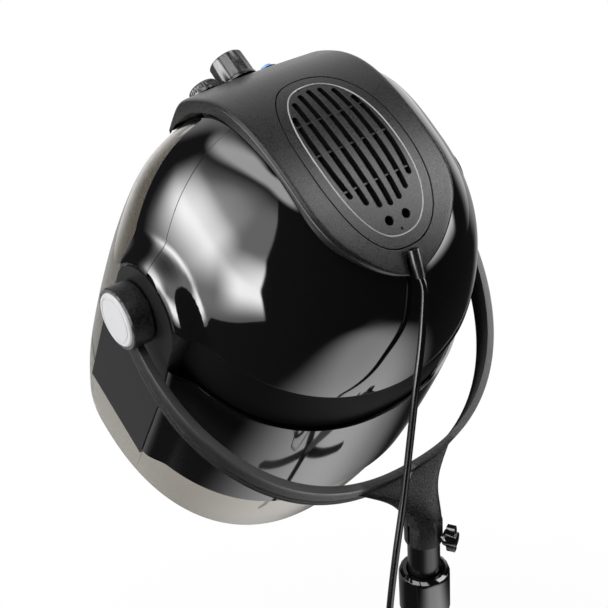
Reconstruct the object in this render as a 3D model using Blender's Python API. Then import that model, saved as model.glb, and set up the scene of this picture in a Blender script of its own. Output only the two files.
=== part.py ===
"""Standing hood dryer: tilting hood on a fork, telescopic column, five-leg base on castors, mains cord."""
import math

import bmesh
import bpy
import numpy as np
from mathutils import Matrix, Vector

for old in list(bpy.data.objects):
    bpy.data.objects.remove(old, do_unlink=True)

# Driving dimensions, metres
FIT = 0.0003
HOOD_Y = -0.0916
HOOD_Z = 1.220
TILT = math.radians(35.0)
PIVOT_DOWN = 0.0199
PIVOT_AHEAD = 0.0098
PIVOT_Y = HOOD_Y - PIVOT_AHEAD * math.cos(TILT) - PIVOT_DOWN * math.sin(TILT)
PIVOT_Z = HOOD_Z + PIVOT_AHEAD * math.sin(TILT) - PIVOT_DOWN * math.cos(TILT)
COLUMN_BACK = 0.163
COLUMN_Y = HOOD_Y + COLUMN_BACK

WALL = 0.0026
TUCK = WALL + 0.0004
SAG = 0.0016
RING_LOW = -0.204
RING_LEAN = 0.107
RING_TOP = -0.040
SHELL_LOW = 0.015
SKIRT_LOW = -0.284
SKIRT_LAP = 0.012
SEAM_BASE = (0.011, 0.015)
SEAM_SLOPE = 0.55
ARCH_BASE = (0.0361, -0.042)
ARCH_SLOPE = 0.45
ARCH_LAP = 0.008

CHEEK_FACE = 0.1715
CHEEK_LOBE_R = 0.046
CHEEK_LOBE_Y = -0.0033
CHEEK_LOBE_Z = -0.0153
LIP_W = 0.026
LIP_DROP = 0.0012
CHEEK_WALL = 0.0035
CHEEK_BOSS_R = 0.015
CHEEK_BOSS_IN = 0.1495

BOLT_R = 0.005
BOLT_HEAD_R = 0.009
WASHER_R = 0.026
WASHER_T = 0.0016
BOSS_R = 0.030
BOSS_LEN = 0.0215
BOSS_IN = CHEEK_FACE + WASHER_T + 2 * FIT
BOSS_OUT = BOSS_IN + BOSS_LEN
CAP_R = 0.0262
CAP_SEAT = 0.004

FORK_FOOT_Y = 0.1472
FORK_FOOT_Z = -0.1824
FORK_PINCH = 0.0055
FORK_W = BOSS_IN + BOSS_LEN / 2 + FORK_PINCH
FORK_EXP = 2.35
FORK_DROP = math.atan2(PIVOT_Z - HOOD_Z - FORK_FOOT_Z, HOOD_Y + FORK_FOOT_Y - PIVOT_Y)
FORK_D = math.hypot(PIVOT_Z - HOOD_Z - FORK_FOOT_Z, HOOD_Y + FORK_FOOT_Y - PIVOT_Y)
FORK_LEAN = math.radians(33.0)
FORK_T = 0.007
FORK_H = 0.030
SOCKET_R = 0.0186
SOCKET_LOW = -0.2625
SOCKET_TOP = -0.232
SPIGOT_R = 0.0130
SPIGOT_LEN = 0.026
KNOB_Z = -0.2550
KNOB_TURN = math.radians(-60.0)

POST_R = 0.0160
POST_BORE = 0.0105
POST_SHOW = 0.0385
POST_LEN = 0.520
TUBE_R = 0.0210
TUBE_WALL = 0.0020
COLLAR_R = 0.0253
COLLAR_H = 0.058
TRAVEL = 0.280

HUB_R = 0.040
HUB_LOW = 0.066
HUB_H = 0.056
HUB_SEAT = 0.006
LEG_REACH = 0.290
LEGS = 5
CASTOR_R = 0.025
CASTOR_TRAIL = 0.018
CASTOR_W = 0.018
CASTOR_PIN_R = 0.0052
CASTOR_HOLE_R = 0.0056

STRIP_W = 0.076
STRIP_T = 0.0030
VENT_W = 0.053
VENT_LEN = 0.0905
VENT_MID = 0.0
FACE_S = 0.1435
CONTROL_Z = 0.060
HEAT_X = 0.000
TIMER_X = 0.037
SWITCH_X = -0.0314
KNOB_R = 0.018
DIAL_R = 0.015
BEZEL_R = 0.0120
SHAFT_R = 0.003

CORD_R = 0.0034

# Hood sections: height on the hood axis, half width, back reach, front reach, back and front roundness
SECTIONS = np.array([
    (-0.284, 0.1640, 0.188, 0.114, 2.35, 2.30),
    (-0.240, 0.1698, 0.191, 0.128, 2.35, 2.35),
    (-0.185, 0.1705, 0.190, 0.137, 2.35, 2.45),
    (-0.120, 0.1695, 0.184, 0.143, 2.30, 2.60),
    (-0.060, 0.1665, 0.177, 0.146, 2.25, 2.80),
    (0.000, 0.1610, 0.169, 0.146, 2.15, 3.00),
    (0.040, 0.1540, 0.160, 0.141, 2.10, 3.20),
    (0.080, 0.1380, 0.143, 0.130, 2.10, 3.40),
    (0.105, 0.1210, 0.1235, 0.1140, 2.10, 3.30),
    (0.118, 0.1095, 0.1110, 0.1045, 2.15, 3.10),
    (0.130, 0.0985, 0.0935, 0.0890, 2.20, 2.80),
    (0.139, 0.0890, 0.0740, 0.0690, 2.30, 2.60),
    (0.1455, 0.0800, 0.0520, 0.0450, 2.30, 2.40),
    (0.1485, 0.0700, 0.0320, 0.0270, 2.20, 2.30),
    (0.1495, 0.0010, 0.0010, 0.0010, 2.00, 2.00),
])
# Perforated inner bowl, same columns
BOWL = np.array([
    (-0.180, 0.1530, 0.171, 0.118, 2.35, 2.45),
    (-0.060, 0.1490, 0.159, 0.127, 2.25, 2.60),
    (0.000, 0.1420, 0.150, 0.127, 2.15, 2.60),
    (0.030, 0.1300, 0.135, 0.115, 2.10, 2.60),
    (0.048, 0.1030, 0.107, 0.092, 2.10, 2.50),
    (0.058, 0.0680, 0.071, 0.062, 2.10, 2.20),
    (0.062, 0.0010, 0.001, 0.001, 2.00, 2.00),
])
# Centre line of the spine cover: reach forward of the pivot, height, half width
SPINE = np.array([
    (0.1435, 0.030, 0.0740),
    (0.1435, 0.048, 0.0755),
    (0.1435, 0.066, 0.0760),
    (0.1418, 0.077, 0.0760),
    (0.1370, 0.0875, 0.0760),
    (0.1280, 0.1005, 0.0760),
    (0.1130, 0.1190, 0.0760),
    (0.0930, 0.1352, 0.0760),
    (0.0700, 0.1458, 0.0760),
    (0.0400, 0.1528, 0.0760),
    (0.0000, 0.1560, 0.0760),
    (-0.0350, 0.1545, 0.0755),
    (-0.0580, 0.1500, 0.0700),
    (-0.0740, 0.1455, 0.0610),
    (-0.0880, 0.1395, 0.0490),
    (-0.0990, 0.1330, 0.0360),
    (-0.1065, 0.1275, 0.0220),
    (-0.1100, 0.1248, 0.0100),
])

PARTS = bpy.data.collections.new("standing_hood_dryer")
CUTTERS = bpy.data.collections.new("cutters")
bpy.context.scene.collection.children.link(PARTS)
bpy.context.scene.collection.children.link(CUTTERS)

HOOD_TURN = Matrix.Rotation(-TILT, 4, "X")
HOOD = Matrix.Translation((0.0, HOOD_Y, HOOD_Z)) @ HOOD_TURN
WORLD = Matrix.Identity(4)
AXES = {"Z": Matrix.Identity(4), "X": Matrix.Rotation(math.pi / 2, 4, "Y"),
        "-X": Matrix.Rotation(-math.pi / 2, 4, "Y"), "-Y": Matrix.Rotation(math.pi / 2, 4, "X")}


def material(name, colour, rough, metal=0.0, alpha=1.0):
    m = bpy.data.materials.get(name)
    if m is None:
        m = bpy.data.materials.new(name)
        m.use_nodes = True
        b = m.node_tree.nodes["Principled BSDF"]
        b.inputs["Base Color"].default_value = (*colour, 1.0)
        b.inputs["Roughness"].default_value = rough
        b.inputs["Metallic"].default_value = metal
        b.inputs["Alpha"].default_value = alpha
    return m


GLOSS = material("gloss_black_abs", (0.012, 0.012, 0.013), 0.08)
SATIN = material("satin_grey_abs", (0.045, 0.046, 0.048), 0.45)
TEXTURED = material("textured_black_nylon", (0.030, 0.030, 0.031), 0.55)
CLEAR = material("smoked_clear_plastic", (0.55, 0.54, 0.50), 0.06, 0.0, 0.45)
WHITE = material("white_cap_plastic", (0.80, 0.80, 0.81), 0.30)
STEEL = material("steel", (0.55, 0.55, 0.56), 0.30, 1.0)
BLACKED = material("black_powder_steel", (0.020, 0.020, 0.021), 0.30, 0.2)
TYRE = material("grey_tyre_rubber", (0.10, 0.10, 0.10), 0.70)
BLUE = material("blue_clear_rocker", (0.05, 0.20, 0.55), 0.20)
INNER = material("black_heatproof_plastic", (0.030, 0.029, 0.028), 0.50)
CABLE = material("black_pvc_cable", (0.015, 0.015, 0.016), 0.25)


def shade(me, angle=40.0):
    me.polygons.foreach_set("use_smooth", [True] * len(me.polygons))
    me.set_sharp_from_angle(angle=math.radians(angle))


def add(name, bm, mat, frame=WORLD, origin=(0.0, 0.0, 0.0), cutter=False):
    """Turns a bmesh given in a frame into an object whose origin sits at a point of that frame."""
    bmesh.ops.recalc_face_normals(bm, faces=bm.faces[:])
    me = bpy.data.meshes.new(name)
    bm.to_mesh(me)
    bm.free()
    o = Vector(origin)
    if frame is HOOD and o.length == 0.0:
        o = Vector((0.0, -PIVOT_AHEAD, -PIVOT_DOWN))
    me.transform(Matrix.Translation(-o))
    me.transform(frame.to_3x3().to_4x4())
    ob = bpy.data.objects.new(name, me)
    ob.location = frame @ o
    if cutter:
        CUTTERS.objects.link(ob)
        ob.hide_render = True
        ob.display_type = "WIRE"
    else:
        PARTS.objects.link(ob)
        me.materials.append(mat)
        shade(me)
    return ob


def cut(ob, tool, op="DIFFERENCE"):
    m = ob.modifiers.new(tool.name, "BOOLEAN")
    m.object = tool
    m.operation = op
    m.solver = "EXACT"
    return m


def bm_between(outer, inner, wrap=False):
    """Closed body between two point grids of the same size; wrap joins the last column to the first."""
    bm = bmesh.new()
    va = [[bm.verts.new(p) for p in row] for row in outer]
    vb = [[bm.verts.new(p) for p in row] for row in inner]
    n, m = len(outer), len(outer[0])
    last = m if wrap else m - 1
    for i in range(n - 1):
        for j in range(last):
            k = (j + 1) % m
            bm.faces.new((va[i][j], va[i][k], va[i + 1][k], va[i + 1][j]))
            bm.faces.new((vb[i][j], vb[i + 1][j], vb[i + 1][k], vb[i][k]))
    for j in range(last):
        k = (j + 1) % m
        bm.faces.new((va[0][j], vb[0][j], vb[0][k], va[0][k]))
        bm.faces.new((va[n - 1][j], va[n - 1][k], vb[n - 1][k], vb[n - 1][j]))
    if not wrap:
        for i in range(n - 1):
            bm.faces.new((va[i][0], va[i + 1][0], vb[i + 1][0], vb[i][0]))
            bm.faces.new((va[i][m - 1], vb[i][m - 1], vb[i + 1][m - 1], va[i + 1][m - 1]))
    return bm


def bm_revolve(profile, steps=32, axis="Z", at=(0.0, 0.0, 0.0)):
    """Full turn of a (radius, height) outline about an axis; flat ends on the axis become caps."""
    bm = bmesh.new()
    run = list(profile)
    solid = run[0][0] < 1e-6
    if solid and abs(run[0][1] - run[1][1]) < 1e-7:
        run = run[1:]
    if solid and abs(run[-1][1] - run[-2][1]) < 1e-7:
        run = run[:-1]
    verts = [bm.verts.new((r, 0.0, h)) for r, h in run]
    edges = [bm.edges.new(pair) for pair in zip(verts, verts[1:])]
    if not solid:
        edges.append(bm.edges.new((verts[-1], verts[0])))
    bmesh.ops.spin(bm, geom=verts + edges, cent=(0.0, 0.0, 0.0), axis=(0.0, 0.0, 1.0), angle=2.0 * math.pi,
                   steps=steps, use_merge=True)
    bmesh.ops.remove_doubles(bm, verts=bm.verts[:], dist=1e-7)
    bmesh.ops.holes_fill(bm, edges=[e for e in bm.edges if e.is_boundary], sides=0)
    bmesh.ops.recalc_face_normals(bm, faces=bm.faces[:])
    bmesh.ops.transform(bm, matrix=Matrix.Translation(at) @ AXES[axis], verts=bm.verts[:])
    return bm


def bm_prism(outline, low, high, axis="Z"):
    """Outline pushed from one level to another; axis X takes (y, z) and axis Y takes (x, z)."""
    bm = bmesh.new()
    place = {"X": lambda a, b: (low, a, b), "Y": lambda a, b: (a, low, b), "Z": lambda a,
             b: (a, b, low)}[axis]
    face = bm.faces.new([bm.verts.new(place(a, b)) for a, b in outline])
    pushed = bmesh.ops.extrude_face_region(bm, geom=[face])["geom"]
    along = Vector((axis == "X", axis == "Y", axis == "Z")) * (high - low)
    bmesh.ops.translate(bm, vec=along, verts=[g for g in pushed if isinstance(g, bmesh.types.BMVert)])
    return bm


def bm_box(low, high):
    """Block between two opposite corners."""
    bm = bmesh.new()
    size = Vector(high) - Vector(low)
    middle = (Vector(high) + Vector(low)) / 2
    bmesh.ops.create_cube(bm, size=1.0, matrix=Matrix.Translation(middle) @ Matrix.Diagonal((*size, 1.0)))
    return bm


def grown(outline, d):
    """Outline moved outward by d along its own normals."""
    p = np.array(outline)
    t = np.roll(p, -1, 0) - np.roll(p, 1, 0)
    nrm = np.c_[t[:, 1], -t[:, 0]]
    nrm /= np.linalg.norm(nrm, axis=1)[:, None]
    area = 0.5 * np.sum(p[:, 0] * np.roll(p[:, 1], -1) - np.roll(p[:, 0], -1) * p[:, 1])
    if area < 0:
        nrm = -nrm
    return [tuple(q) for q in p + d * nrm]


class Body:
    """Rounded hood body given by its sections; points are (x, forward reach, height)."""

    def __init__(self, table):
        self.t = table

    def at(self, z):
        t = self.t
        z = min(max(z, t[0, 0]), t[-1, 0])
        i = min(max(int(np.searchsorted(t[:, 0], z)) - 1, 0), len(t) - 2)
        h = t[i + 1, 0] - t[i, 0]
        u = (z - t[i, 0]) / h
        d = (t[i + 1, 1:] - t[i, 1:]) / h
        da = d if i == 0 else (t[i + 1, 1:] - t[i - 1, 1:]) / (t[i + 1, 0] - t[i - 1, 0])
        db = d if i == len(t) - 2 else (t[i + 2, 1:] - t[i, 1:]) / (t[i + 2, 0] - t[i, 0])
        u2, u3 = u * u, u * u * u
        return ((2 * u3 - 3 * u2 + 1) * t[i, 1:] + (u3 - 2 * u2 + u) * h * da
                + (-2 * u3 + 3 * u2) * t[i + 1, 1:] + (u3 - u2) * h * db)

    def level(self, x, s, z):
        if z > self.t[-1, 0]:
            return 2.0 + z - self.t[-1, 0]
        w, b, f, nb, nf = self.at(z)
        if s < 0:
            return (abs(x) / w) ** nb + (-s / b) ** nb
        return (abs(x) / w) ** nf + (s / f) ** nf

    def cast(self, o, d):
        lo, hi = 0.0, 0.6
        for _ in range(34):
            m = 0.5 * (lo + hi)
            if self.level(o[0] + d[0] * m, o[1] + d[1] * m, o[2] + d[2] * m) < 1.0:
                lo = m
            else:
                hi = m
        return (o[0] + d[0] * lo, o[1] + d[1] * lo, o[2] + d[2] * lo)

    def normal(self, p):
        e = 0.0004
        g = [self.level(p[0] + (i == 0) * e, p[1] + (i == 1) * e, p[2] + (i == 2) * e)
             - self.level(p[0] - (i == 0) * e, p[1] - (i == 1) * e, p[2] - (i == 2) * e) for i in range(3)]
        n = np.array(g)
        return n / np.linalg.norm(n)

    def row(self, base, psi, betas):
        """Points met by rays that fan out in a plane through a base line across the hood."""
        out = []
        for b in betas:
            d = (math.cos(b), math.sin(b) * math.cos(psi), math.sin(b) * math.sin(psi))
            out.append(self.cast((0.0, base[0], base[1]), d))
        return out

    def shell(self, rows, out, thick, lip=False):
        """Outer and inner grids of a wall whose outer face lies 'out' outside the body."""
        ga, gb = [], []
        for r in rows:
            ra, rb = [], []
            for p in r:
                n = self.normal(p)
                rise = np.array((lip_rise(p) if lip else 0.0, 0.0, 0.0))
                a = np.array(p) + n * out + rise
                b = np.array(p) + n * (out - thick) + rise
                ra.append((a[0], -a[1], a[2]))
                rb.append((b[0], -b[1], b[2]))
            ga.append(ra)
            gb.append(rb)
        return bm_between(ga, gb)


HULL = Body(SECTIONS)
LINER = Body(BOWL)
BACK = math.pi


def fan(low, n):
    """Angles of one row of rays from one side to the other, closer together at the sides."""
    out = []
    for i in range(n):
        u = 2.0 * i / (n - 1) - 1.0
        out.append(math.radians(90.0 + (90.0 - low) * math.copysign(1.0 - (1.0 - abs(u)) ** 1.35, u)))
    return out


# Side panels' outline, in (back, height), with a round lobe behind the pivot
LOBE = [math.radians(a) for a in range(-14, 196, 14)]
CHEEK = [(-0.0320, RING_LOW), (-0.0455, -0.093)]
CHEEK += [(CHEEK_LOBE_Y - CHEEK_LOBE_R * math.cos(a),
           CHEEK_LOBE_Z + CHEEK_LOBE_R * math.sin(a)) for a in LOBE]
CHEEK += [(0.0545, -0.083), (0.0640, RING_LOW)]
RIM = np.array(CHEEK)


def lip_rise(p):
    """How far a wall swells sideways at this point, so that it ends level with the side panel."""
    q = np.array((-p[1], p[2]))
    run = np.roll(RIM, -1, 0) - RIM
    u = np.clip(np.sum((q - RIM) * run, 1) / np.sum(run * run, 1), 0.0, 1.0)
    away = np.min(np.linalg.norm(RIM + run * u[:, None] - q, axis=1)) / LIP_W
    side = run[:, 0] * (q[1] - RIM[:, 1]) - run[:, 1] * (q[0] - RIM[:, 0])
    if np.all(side < 0.0):
        away = 0.0
    if away >= 1.0:
        return 0.0
    fade = (1.0 - away) ** 2 * (1.0 + 2.0 * away)
    return math.copysign(max(CHEEK_FACE - LIP_DROP - abs(p[0]), 0.0) * fade, p[0])


SIDES = {}
for tag, sign in (("l", 1.0), ("r", -1.0)):
    outline = bm_prism(grown(CHEEK, 0.0004), sign * 0.120, sign * 0.205, "X")
    SIDES[tag] = add("side_gap_" + tag, outline, None, HOOD, cutter=True)


def side_cuts(ob):
    cut(ob, SIDES["l"])
    cut(ob, SIDES["r"])


# Lower rear wall of the hood; its lower edge leans up towards the back
rows = []
for u in (1.0, 0.66, 0.33, 0.0):
    rows.append(HULL.row((-0.012, RING_TOP + u * (RING_LOW - RING_TOP)), BACK - u * RING_LEAN, fan(0, 27)))
ring = add("hood_ring", HULL.shell(rows, 0.0, WALL, lip=True), GLOSS, HOOD)
side_cuts(ring)

# Recessed frame that carries the shell, the rear wall and the side panels
zs = [RING_TOP - 0.016, -0.012, SHELL_LOW + 0.012]
rows = [HULL.row((-0.012, z), BACK, fan(0, 25)) for z in zs]
frame = add("hood_frame", HULL.shell(rows, -TUCK - SAG, 0.003), INNER, HOOD)
side_cuts(frame)

# Rear dome shell, from the seam over the top to its lower edge
seam_angle = math.atan2(1.0, SEAM_SLOPE)
DOME_ROWS = (0.0, 0.12, 0.25, 0.38, 0.51, 0.64, 0.77, 0.88, 0.95, 1.0)
rows = [HULL.row(SEAM_BASE, seam_angle + (BACK - seam_angle) * u, fan(7, 25)) for u in DOME_ROWS]
dome = add("dome_shell", HULL.shell(rows, 0.0, WALL, lip=True), GLOSS, HOOD)
side_cuts(dome)

# Front arch between the seam and the visor
arch_angle = math.atan2(1.0, ARCH_SLOPE)
rows = []
for u in (0.0, 0.5, 1.0):
    forward = SEAM_BASE[0] + FIT * (1.0 - u) * 1.3 + u * (ARCH_BASE[0] - SEAM_BASE[0])
    height = SEAM_BASE[1] + u * (ARCH_BASE[1] - SEAM_BASE[1])
    rows.append(HULL.row((forward, height), seam_angle + u * (arch_angle - seam_angle), fan(2, 25)))
arch = add("front_arch", HULL.shell(rows, 0.0, WALL, lip=True), GLOSS, HOOD)
side_cuts(arch)

# Clear visor: tucked under the arch, runs down past the side panels to the rim
rows = []
visor_base = (ARCH_BASE[0] - ARCH_LAP, ARCH_BASE[1])
for i in range(5):
    rows.append(HULL.row(visor_base, arch_angle * (1.0 - i / 4.0), fan(4, 21)))
for z in (-0.095, -0.150, RING_LOW - 0.0006):
    rows.append(HULL.row((visor_base[0], z), 0.0, fan(0, 21)))
for z in (RING_LOW - 0.0046, -0.244, SKIRT_LOW):
    rows.append(HULL.row((-0.0598, z), 0.0, fan(0, 21)))
visor = add("visor", HULL.shell(rows, -TUCK - SAG, 0.0025), CLEAR, HOOD)
side_cuts(visor)
NOTCH = STRIP_W - 0.0035
notch = add("control_notch", bm_box((-NOTCH, -0.19, 0.027), (NOTCH, -0.03, 0.16)), None, HOOD, cutter=True)
cut(visor, notch)

# Clear skirt behind, tucked inside the rear wall and level with the visor's rim
rows = []
for u in (1.0, 0.75, 0.4, 0.0):
    height = SKIRT_LOW + u * (RING_LOW + SKIRT_LAP - SKIRT_LOW)
    rows.append(HULL.row((-0.0602, height), BACK - u * RING_LEAN, fan(0, 21)))
skirt = add("rear_skirt", HULL.shell(rows, -TUCK - SAG, 0.0025), CLEAR, HOOD)
side_cuts(skirt)

# Side panels with the pivot bosses
for tag, sign in (("l", 1.0), ("r", -1.0)):
    ob = add("cheek_" + tag, bm_prism(CHEEK, sign * 0.140, sign * CHEEK_FACE, "X"), SATIN, HOOD)
    pocket = bm_prism(grown(CHEEK, -CHEEK_WALL), sign * 0.120, sign * (CHEEK_FACE - CHEEK_WALL), "X")
    cut(ob, add("cheek_pocket_" + tag, pocket, None, HOOD, cutter=True))
    slant = [(0.100, 0.080), (0.1435, 0.080), (0.1620, RING_LOW - 0.02), (0.100, RING_LOW - 0.02)]
    bm = bm_prism([(sign * x, z) for x, z in slant], -0.12, 0.12, "Y")
    cut(ob, add("cheek_slant_" + tag, bm, None, HOOD, cutter=True))
    boss = bm_revolve([(0.0, CHEEK_BOSS_IN), (CHEEK_BOSS_R, CHEEK_BOSS_IN),
                       (CHEEK_BOSS_R, CHEEK_FACE - 0.002),
                       (0.0, CHEEK_FACE - 0.002)], 24, "X" if sign > 0 else "-X", (0.0, -PIVOT_AHEAD,
                                                                                   -PIVOT_DOWN))
    cut(ob, add("cheek_boss_" + tag, boss, None, HOOD, cutter=True), "UNION")
    bore = bm_revolve([(0.0, 0.140), (BOLT_R + FIT, 0.140), (BOLT_R + FIT, 0.185), (0.0, 0.185)], 24,
                      "X" if sign > 0 else "-X", (0.0, -PIVOT_AHEAD, -PIVOT_DOWN))
    cut(ob, add("cheek_bore_" + tag, bore, None, HOOD, cutter=True))


# Spine cover over the top of the hood
def spine_frames():
    p = SPINE[:, :2]
    t = np.gradient(p, axis=0)
    t /= np.linalg.norm(t, axis=1)[:, None]
    n = np.c_[-t[:, 1], t[:, 0]]
    n[n @ np.array([0.2, 1.0]) < 0] *= -1
    return p, n


SP, SN = spine_frames()


def spine_point(i, x, depth):
    return (x, SP[i, 0] - SN[i, 0] * depth, SP[i, 1] - SN[i, 1] * depth)


SEAT_EXTRA = {0: 0.0014, 1: 0.0036, 2: 0.0040, 3: 0.0040, 4: 0.0036}


def seat_depth(i, x):
    """How far below the cover's centre line the hood surface lies at this station."""
    d = 0.0
    while d < 0.030:
        q = spine_point(i, x, d)
        if HULL.level(q[0], q[1], q[2]) < 1.0:
            break
        d += 0.00025
    return max(d - 0.0015 + SEAT_EXTRA.get(i, 0.0), 0.0036)


def crown(x):
    return 0.0016 * (x / STRIP_W) ** 2


def spine_row(i):
    b = SPINE[i, 2]
    e = min(0.006, 0.4 * b)
    deep = seat_depth(i, b)
    xs = [(-b, max(deep, 0.0042)), (-b, 0.0034), (-b + 0.3 * e, 0.0016), (-b + e, crown(b) * 0.7)]
    xs += [(-0.62 * b, crown(0.62 * b)), (-0.31 * b, crown(0.31 * b)), (0.0, 0.0)]
    xs += [(-x, d) for x, d in reversed(xs[:-1])]
    return [spine_point(i, x, d) for x, d in xs]


def spine_inner(row_a, i):
    """Inside face of one station: pulled in from the sides and down from the top."""
    b = SPINE[i, 2]
    m = len(row_a)
    depth = [(SP[i] - np.array(q[1:])) @ SN[i] for q in row_a]
    out = []
    for j, q in enumerate(row_a):
        x = q[0]
        if j in (0, 1, m - 2, m - 1):
            x = x - math.copysign(min(STRIP_T, 0.45 * b), x)
        elif j in (2, m - 3):
            x = x - math.copysign(min(0.0022, 0.3 * b), x)
        goal = depth[j] if j in (0, m - 1) else min(depth[j] + STRIP_T, depth[0] - 0.0002)
        down = goal - depth[j]
        out.append((x, q[1] - SN[i, 0] * down, q[2] - SN[i, 1] * down))
    return out


outer, inner = [], []
last = len(SPINE) - 1
for i in range(last + 1):
    outer.append(spine_row(i))
    inner.append(spine_inner(outer[-1], i))
inner[0] = [(x, s, z + STRIP_T) for x, s, z in inner[0]]
# Closing walls at the front foot and the tail run down to the hood surface
foot_row = [(x, s - seat_depth(0, x), z) for x, s, z in outer[0]]
outer.insert(0, foot_row)
inner.insert(0, [(xi, sf, zi) for (xi, si, zi), (xf, sf, zf) in zip(inner[0], foot_row)])


def flip(g):
    return [[(x, -s, z) for x, s, z in r] for r in g]


spine = add("spine_cover", bm_between(flip(outer), flip(inner)), SATIN, HOOD)


def vent_outline(d):
    pts = []
    for k in range(26):
        a = 2.0 * math.pi * k / 26.0
        c, s = math.cos(a), math.sin(a)
        e = 2.0 / 2.35
        x = (VENT_W + d) * math.copysign(abs(c) ** e, c)
        y = -VENT_MID + (VENT_LEN + d) * math.copysign(abs(s) ** e, s)
        pts.append((x, y))
    return pts


def plate(top, bottom, half):
    """Bowed plate that follows the cover's centre line between two depths."""
    ga, gb = [], []
    for i in range(5, 17):
        xs = [half * u for u in (-1.0, -0.5, 0.0, 0.5, 1.0)]
        ga.append([spine_point(i, x, crown(x) + top) for x in xs])
        gb.append([spine_point(i, x, crown(x) + bottom) for x in xs])
    return bm_between(flip(ga), flip(gb))


cut(spine, add("vent_hole", bm_prism(vent_outline(0.0), 0.090, 0.200), None, HOOD, cutter=True))
cut(dome, add("dome_vent_hole", bm_prism(vent_outline(0.0060), 0.090, 0.200), None, HOOD, cutter=True))
cut(arch, add("arch_vent_hole", bm_prism(vent_outline(0.0060), 0.090, 0.200), None, HOOD, cutter=True))

vent = add("vent_panel", plate(0.0002, 0.0046, 0.070), SATIN, HOOD)
cut(vent, add("vent_edge", bm_prism(vent_outline(-0.0009), 0.090, 0.200), None, HOOD, cutter=True),
    "INTERSECT")
ledge = add("vent_ledge", plate(0.0034, 0.0060, 0.070), None, HOOD, cutter=True)
cut(ledge, add("vent_ledge_edge", bm_prism(vent_outline(0.0045), 0.085, 0.205), None, HOOD, cutter=True),
    "INTERSECT")
for k, (ya, yb) in enumerate(((-0.070, -0.036), (-0.030, -0.003), (0.003, 0.030), (0.036, 0.060))):
    w = 0.036 if k in (1, 2) else 0.028
    cut(ledge, add("vent_window_%d" % k, bm_box((-w, ya, 0.085), (w, yb, 0.205)), None, HOOD, cutter=True))
cut(vent, ledge, "UNION")


def slot(x0, bow, y0, y1, half):
    """Curved slot with round ends, in plan."""
    left, right = [], []
    for k in range(3):
        u = k / 2.0
        y = y0 + (y1 - y0) * u
        x = x0 + bow * (1.0 - (2.0 * u - 1.0) ** 2)
        left.append((x - half, y))
        right.append((x + half, y))
    turn = [math.radians(a) for a in (45, 90, 135)]
    cap = [(x0 + half * math.cos(a), y1 + half * math.sin(a)) for a in turn]
    foot = [(x0 - half * math.cos(a), y0 - half * math.sin(a)) for a in turn]
    return right + cap + left[::-1] + foot


SLOT_SPAN = [(-0.050, 0.034), (-0.064, 0.044), (-0.070, 0.050), (-0.072, 0.052), (-0.070, 0.050),
             (-0.064, 0.044), (-0.050, 0.034)]
for k in range(7):
    x = (k - 3) * 0.0107
    y0, y1 = SLOT_SPAN[k]
    bm = bm_prism(slot(x, 0.0011 * (k - 3), y0, y1, 0.0024), 0.085, 0.205)
    cut(vent, add("vent_slot_%d" % k, bm, None, HOOD, cutter=True))
for k, x in enumerate((-0.0092, 0.0092)):
    bm = bm_revolve([(0.0, 0.085), (0.0042, 0.085), (0.0042, 0.205), (0.0, 0.205)], 14, "Z",
                    (x, 0.0655, 0.0))
    cut(vent, add("vent_hole_%d" % k, bm, None, HOOD, cutter=True))

# Controls on the front of the spine cover
FACE_IN = FACE_S - STRIP_T


def front(profile, x, steps=28):
    """Turned piece on the control face: (radius, reach forward of the pivot)."""
    return bm_revolve(profile, steps, "-Y", (x, 0.0, CONTROL_Z))


def knob_profile(r, length, flange):
    f = FACE_S + 0.0006
    return [(0.0, FACE_IN - 0.012), (SHAFT_R, FACE_IN - 0.012), (SHAFT_R, f), (flange, f),
            (flange, f + 0.0025), (r, f + 0.0035),
            (r * 0.97, f + length - 0.0015), (r * 0.90, f + length), (0.0, f + length)]


for name, x, r, length, flange in (("heat_knob", HEAT_X, KNOB_R, 0.0275, KNOB_R + 0.0006),
                                   ("timer_dial", TIMER_X, DIAL_R, 0.0095, DIAL_R)):
    ob = add(name, front(knob_profile(r, length, flange), x, 18), TEXTURED, HOOD, (x, -FACE_S, CONTROL_Z))
    hole = front([(0.0, FACE_IN - 0.01), (SHAFT_R + FIT, FACE_IN - 0.01), (SHAFT_R + FIT, FACE_S + 0.01),
                  (0.0, FACE_S + 0.01)], x, 18)
    cut(spine, add(name + "_hole", hole, None, HOOD, cutter=True))
    neck = FACE_IN - FIT - crown(abs(x) + 0.006)
    body = [(SHAFT_R + FIT, FACE_IN - 0.020), (0.0130, FACE_IN - 0.020), (0.0130, FACE_IN - 0.0026),
            (0.0058, FACE_IN - 0.0026), (0.0058, neck),
            (SHAFT_R + FIT, neck)]
    add(name.split("_")[0] + "_switch_body", front(body, x, 12), INNER, HOOD)

bezel = [(0.0, FACE_IN - 0.016), (BEZEL_R - 0.0018, FACE_IN - 0.016), (BEZEL_R - 0.0018, FACE_S + FIT),
         (BEZEL_R, FACE_S + FIT), (BEZEL_R, FACE_S + 0.0022),
         (BEZEL_R - 0.0012, FACE_S + 0.0030), (BEZEL_R - 0.0030, FACE_S + 0.0026), (BEZEL_R - 0.0030,
                                                                                    FACE_IN - 0.013),
         (0.0, FACE_IN - 0.013)]
add("switch_bezel", front(bezel, SWITCH_X, 18), INNER, HOOD)
hole = front([(0.0, FACE_IN - 0.01), (BEZEL_R - 0.0018 + FIT, FACE_IN - 0.01),
              (BEZEL_R - 0.0018 + FIT, FACE_S + 0.01), (0.0, FACE_S + 0.01)],
             SWITCH_X, 28)
cut(spine, add("switch_hole", hole, None, HOOD, cutter=True))
rk = BEZEL_R - 0.0030 - 0.0006
rocker = [(0.0, FACE_S - 0.0060), (rk - 0.0008, FACE_S - 0.0060), (rk, FACE_S - 0.0010),
          (rk - 0.0004, FACE_S + 0.0020),
          (0.0, FACE_S + 0.0034)]
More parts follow.
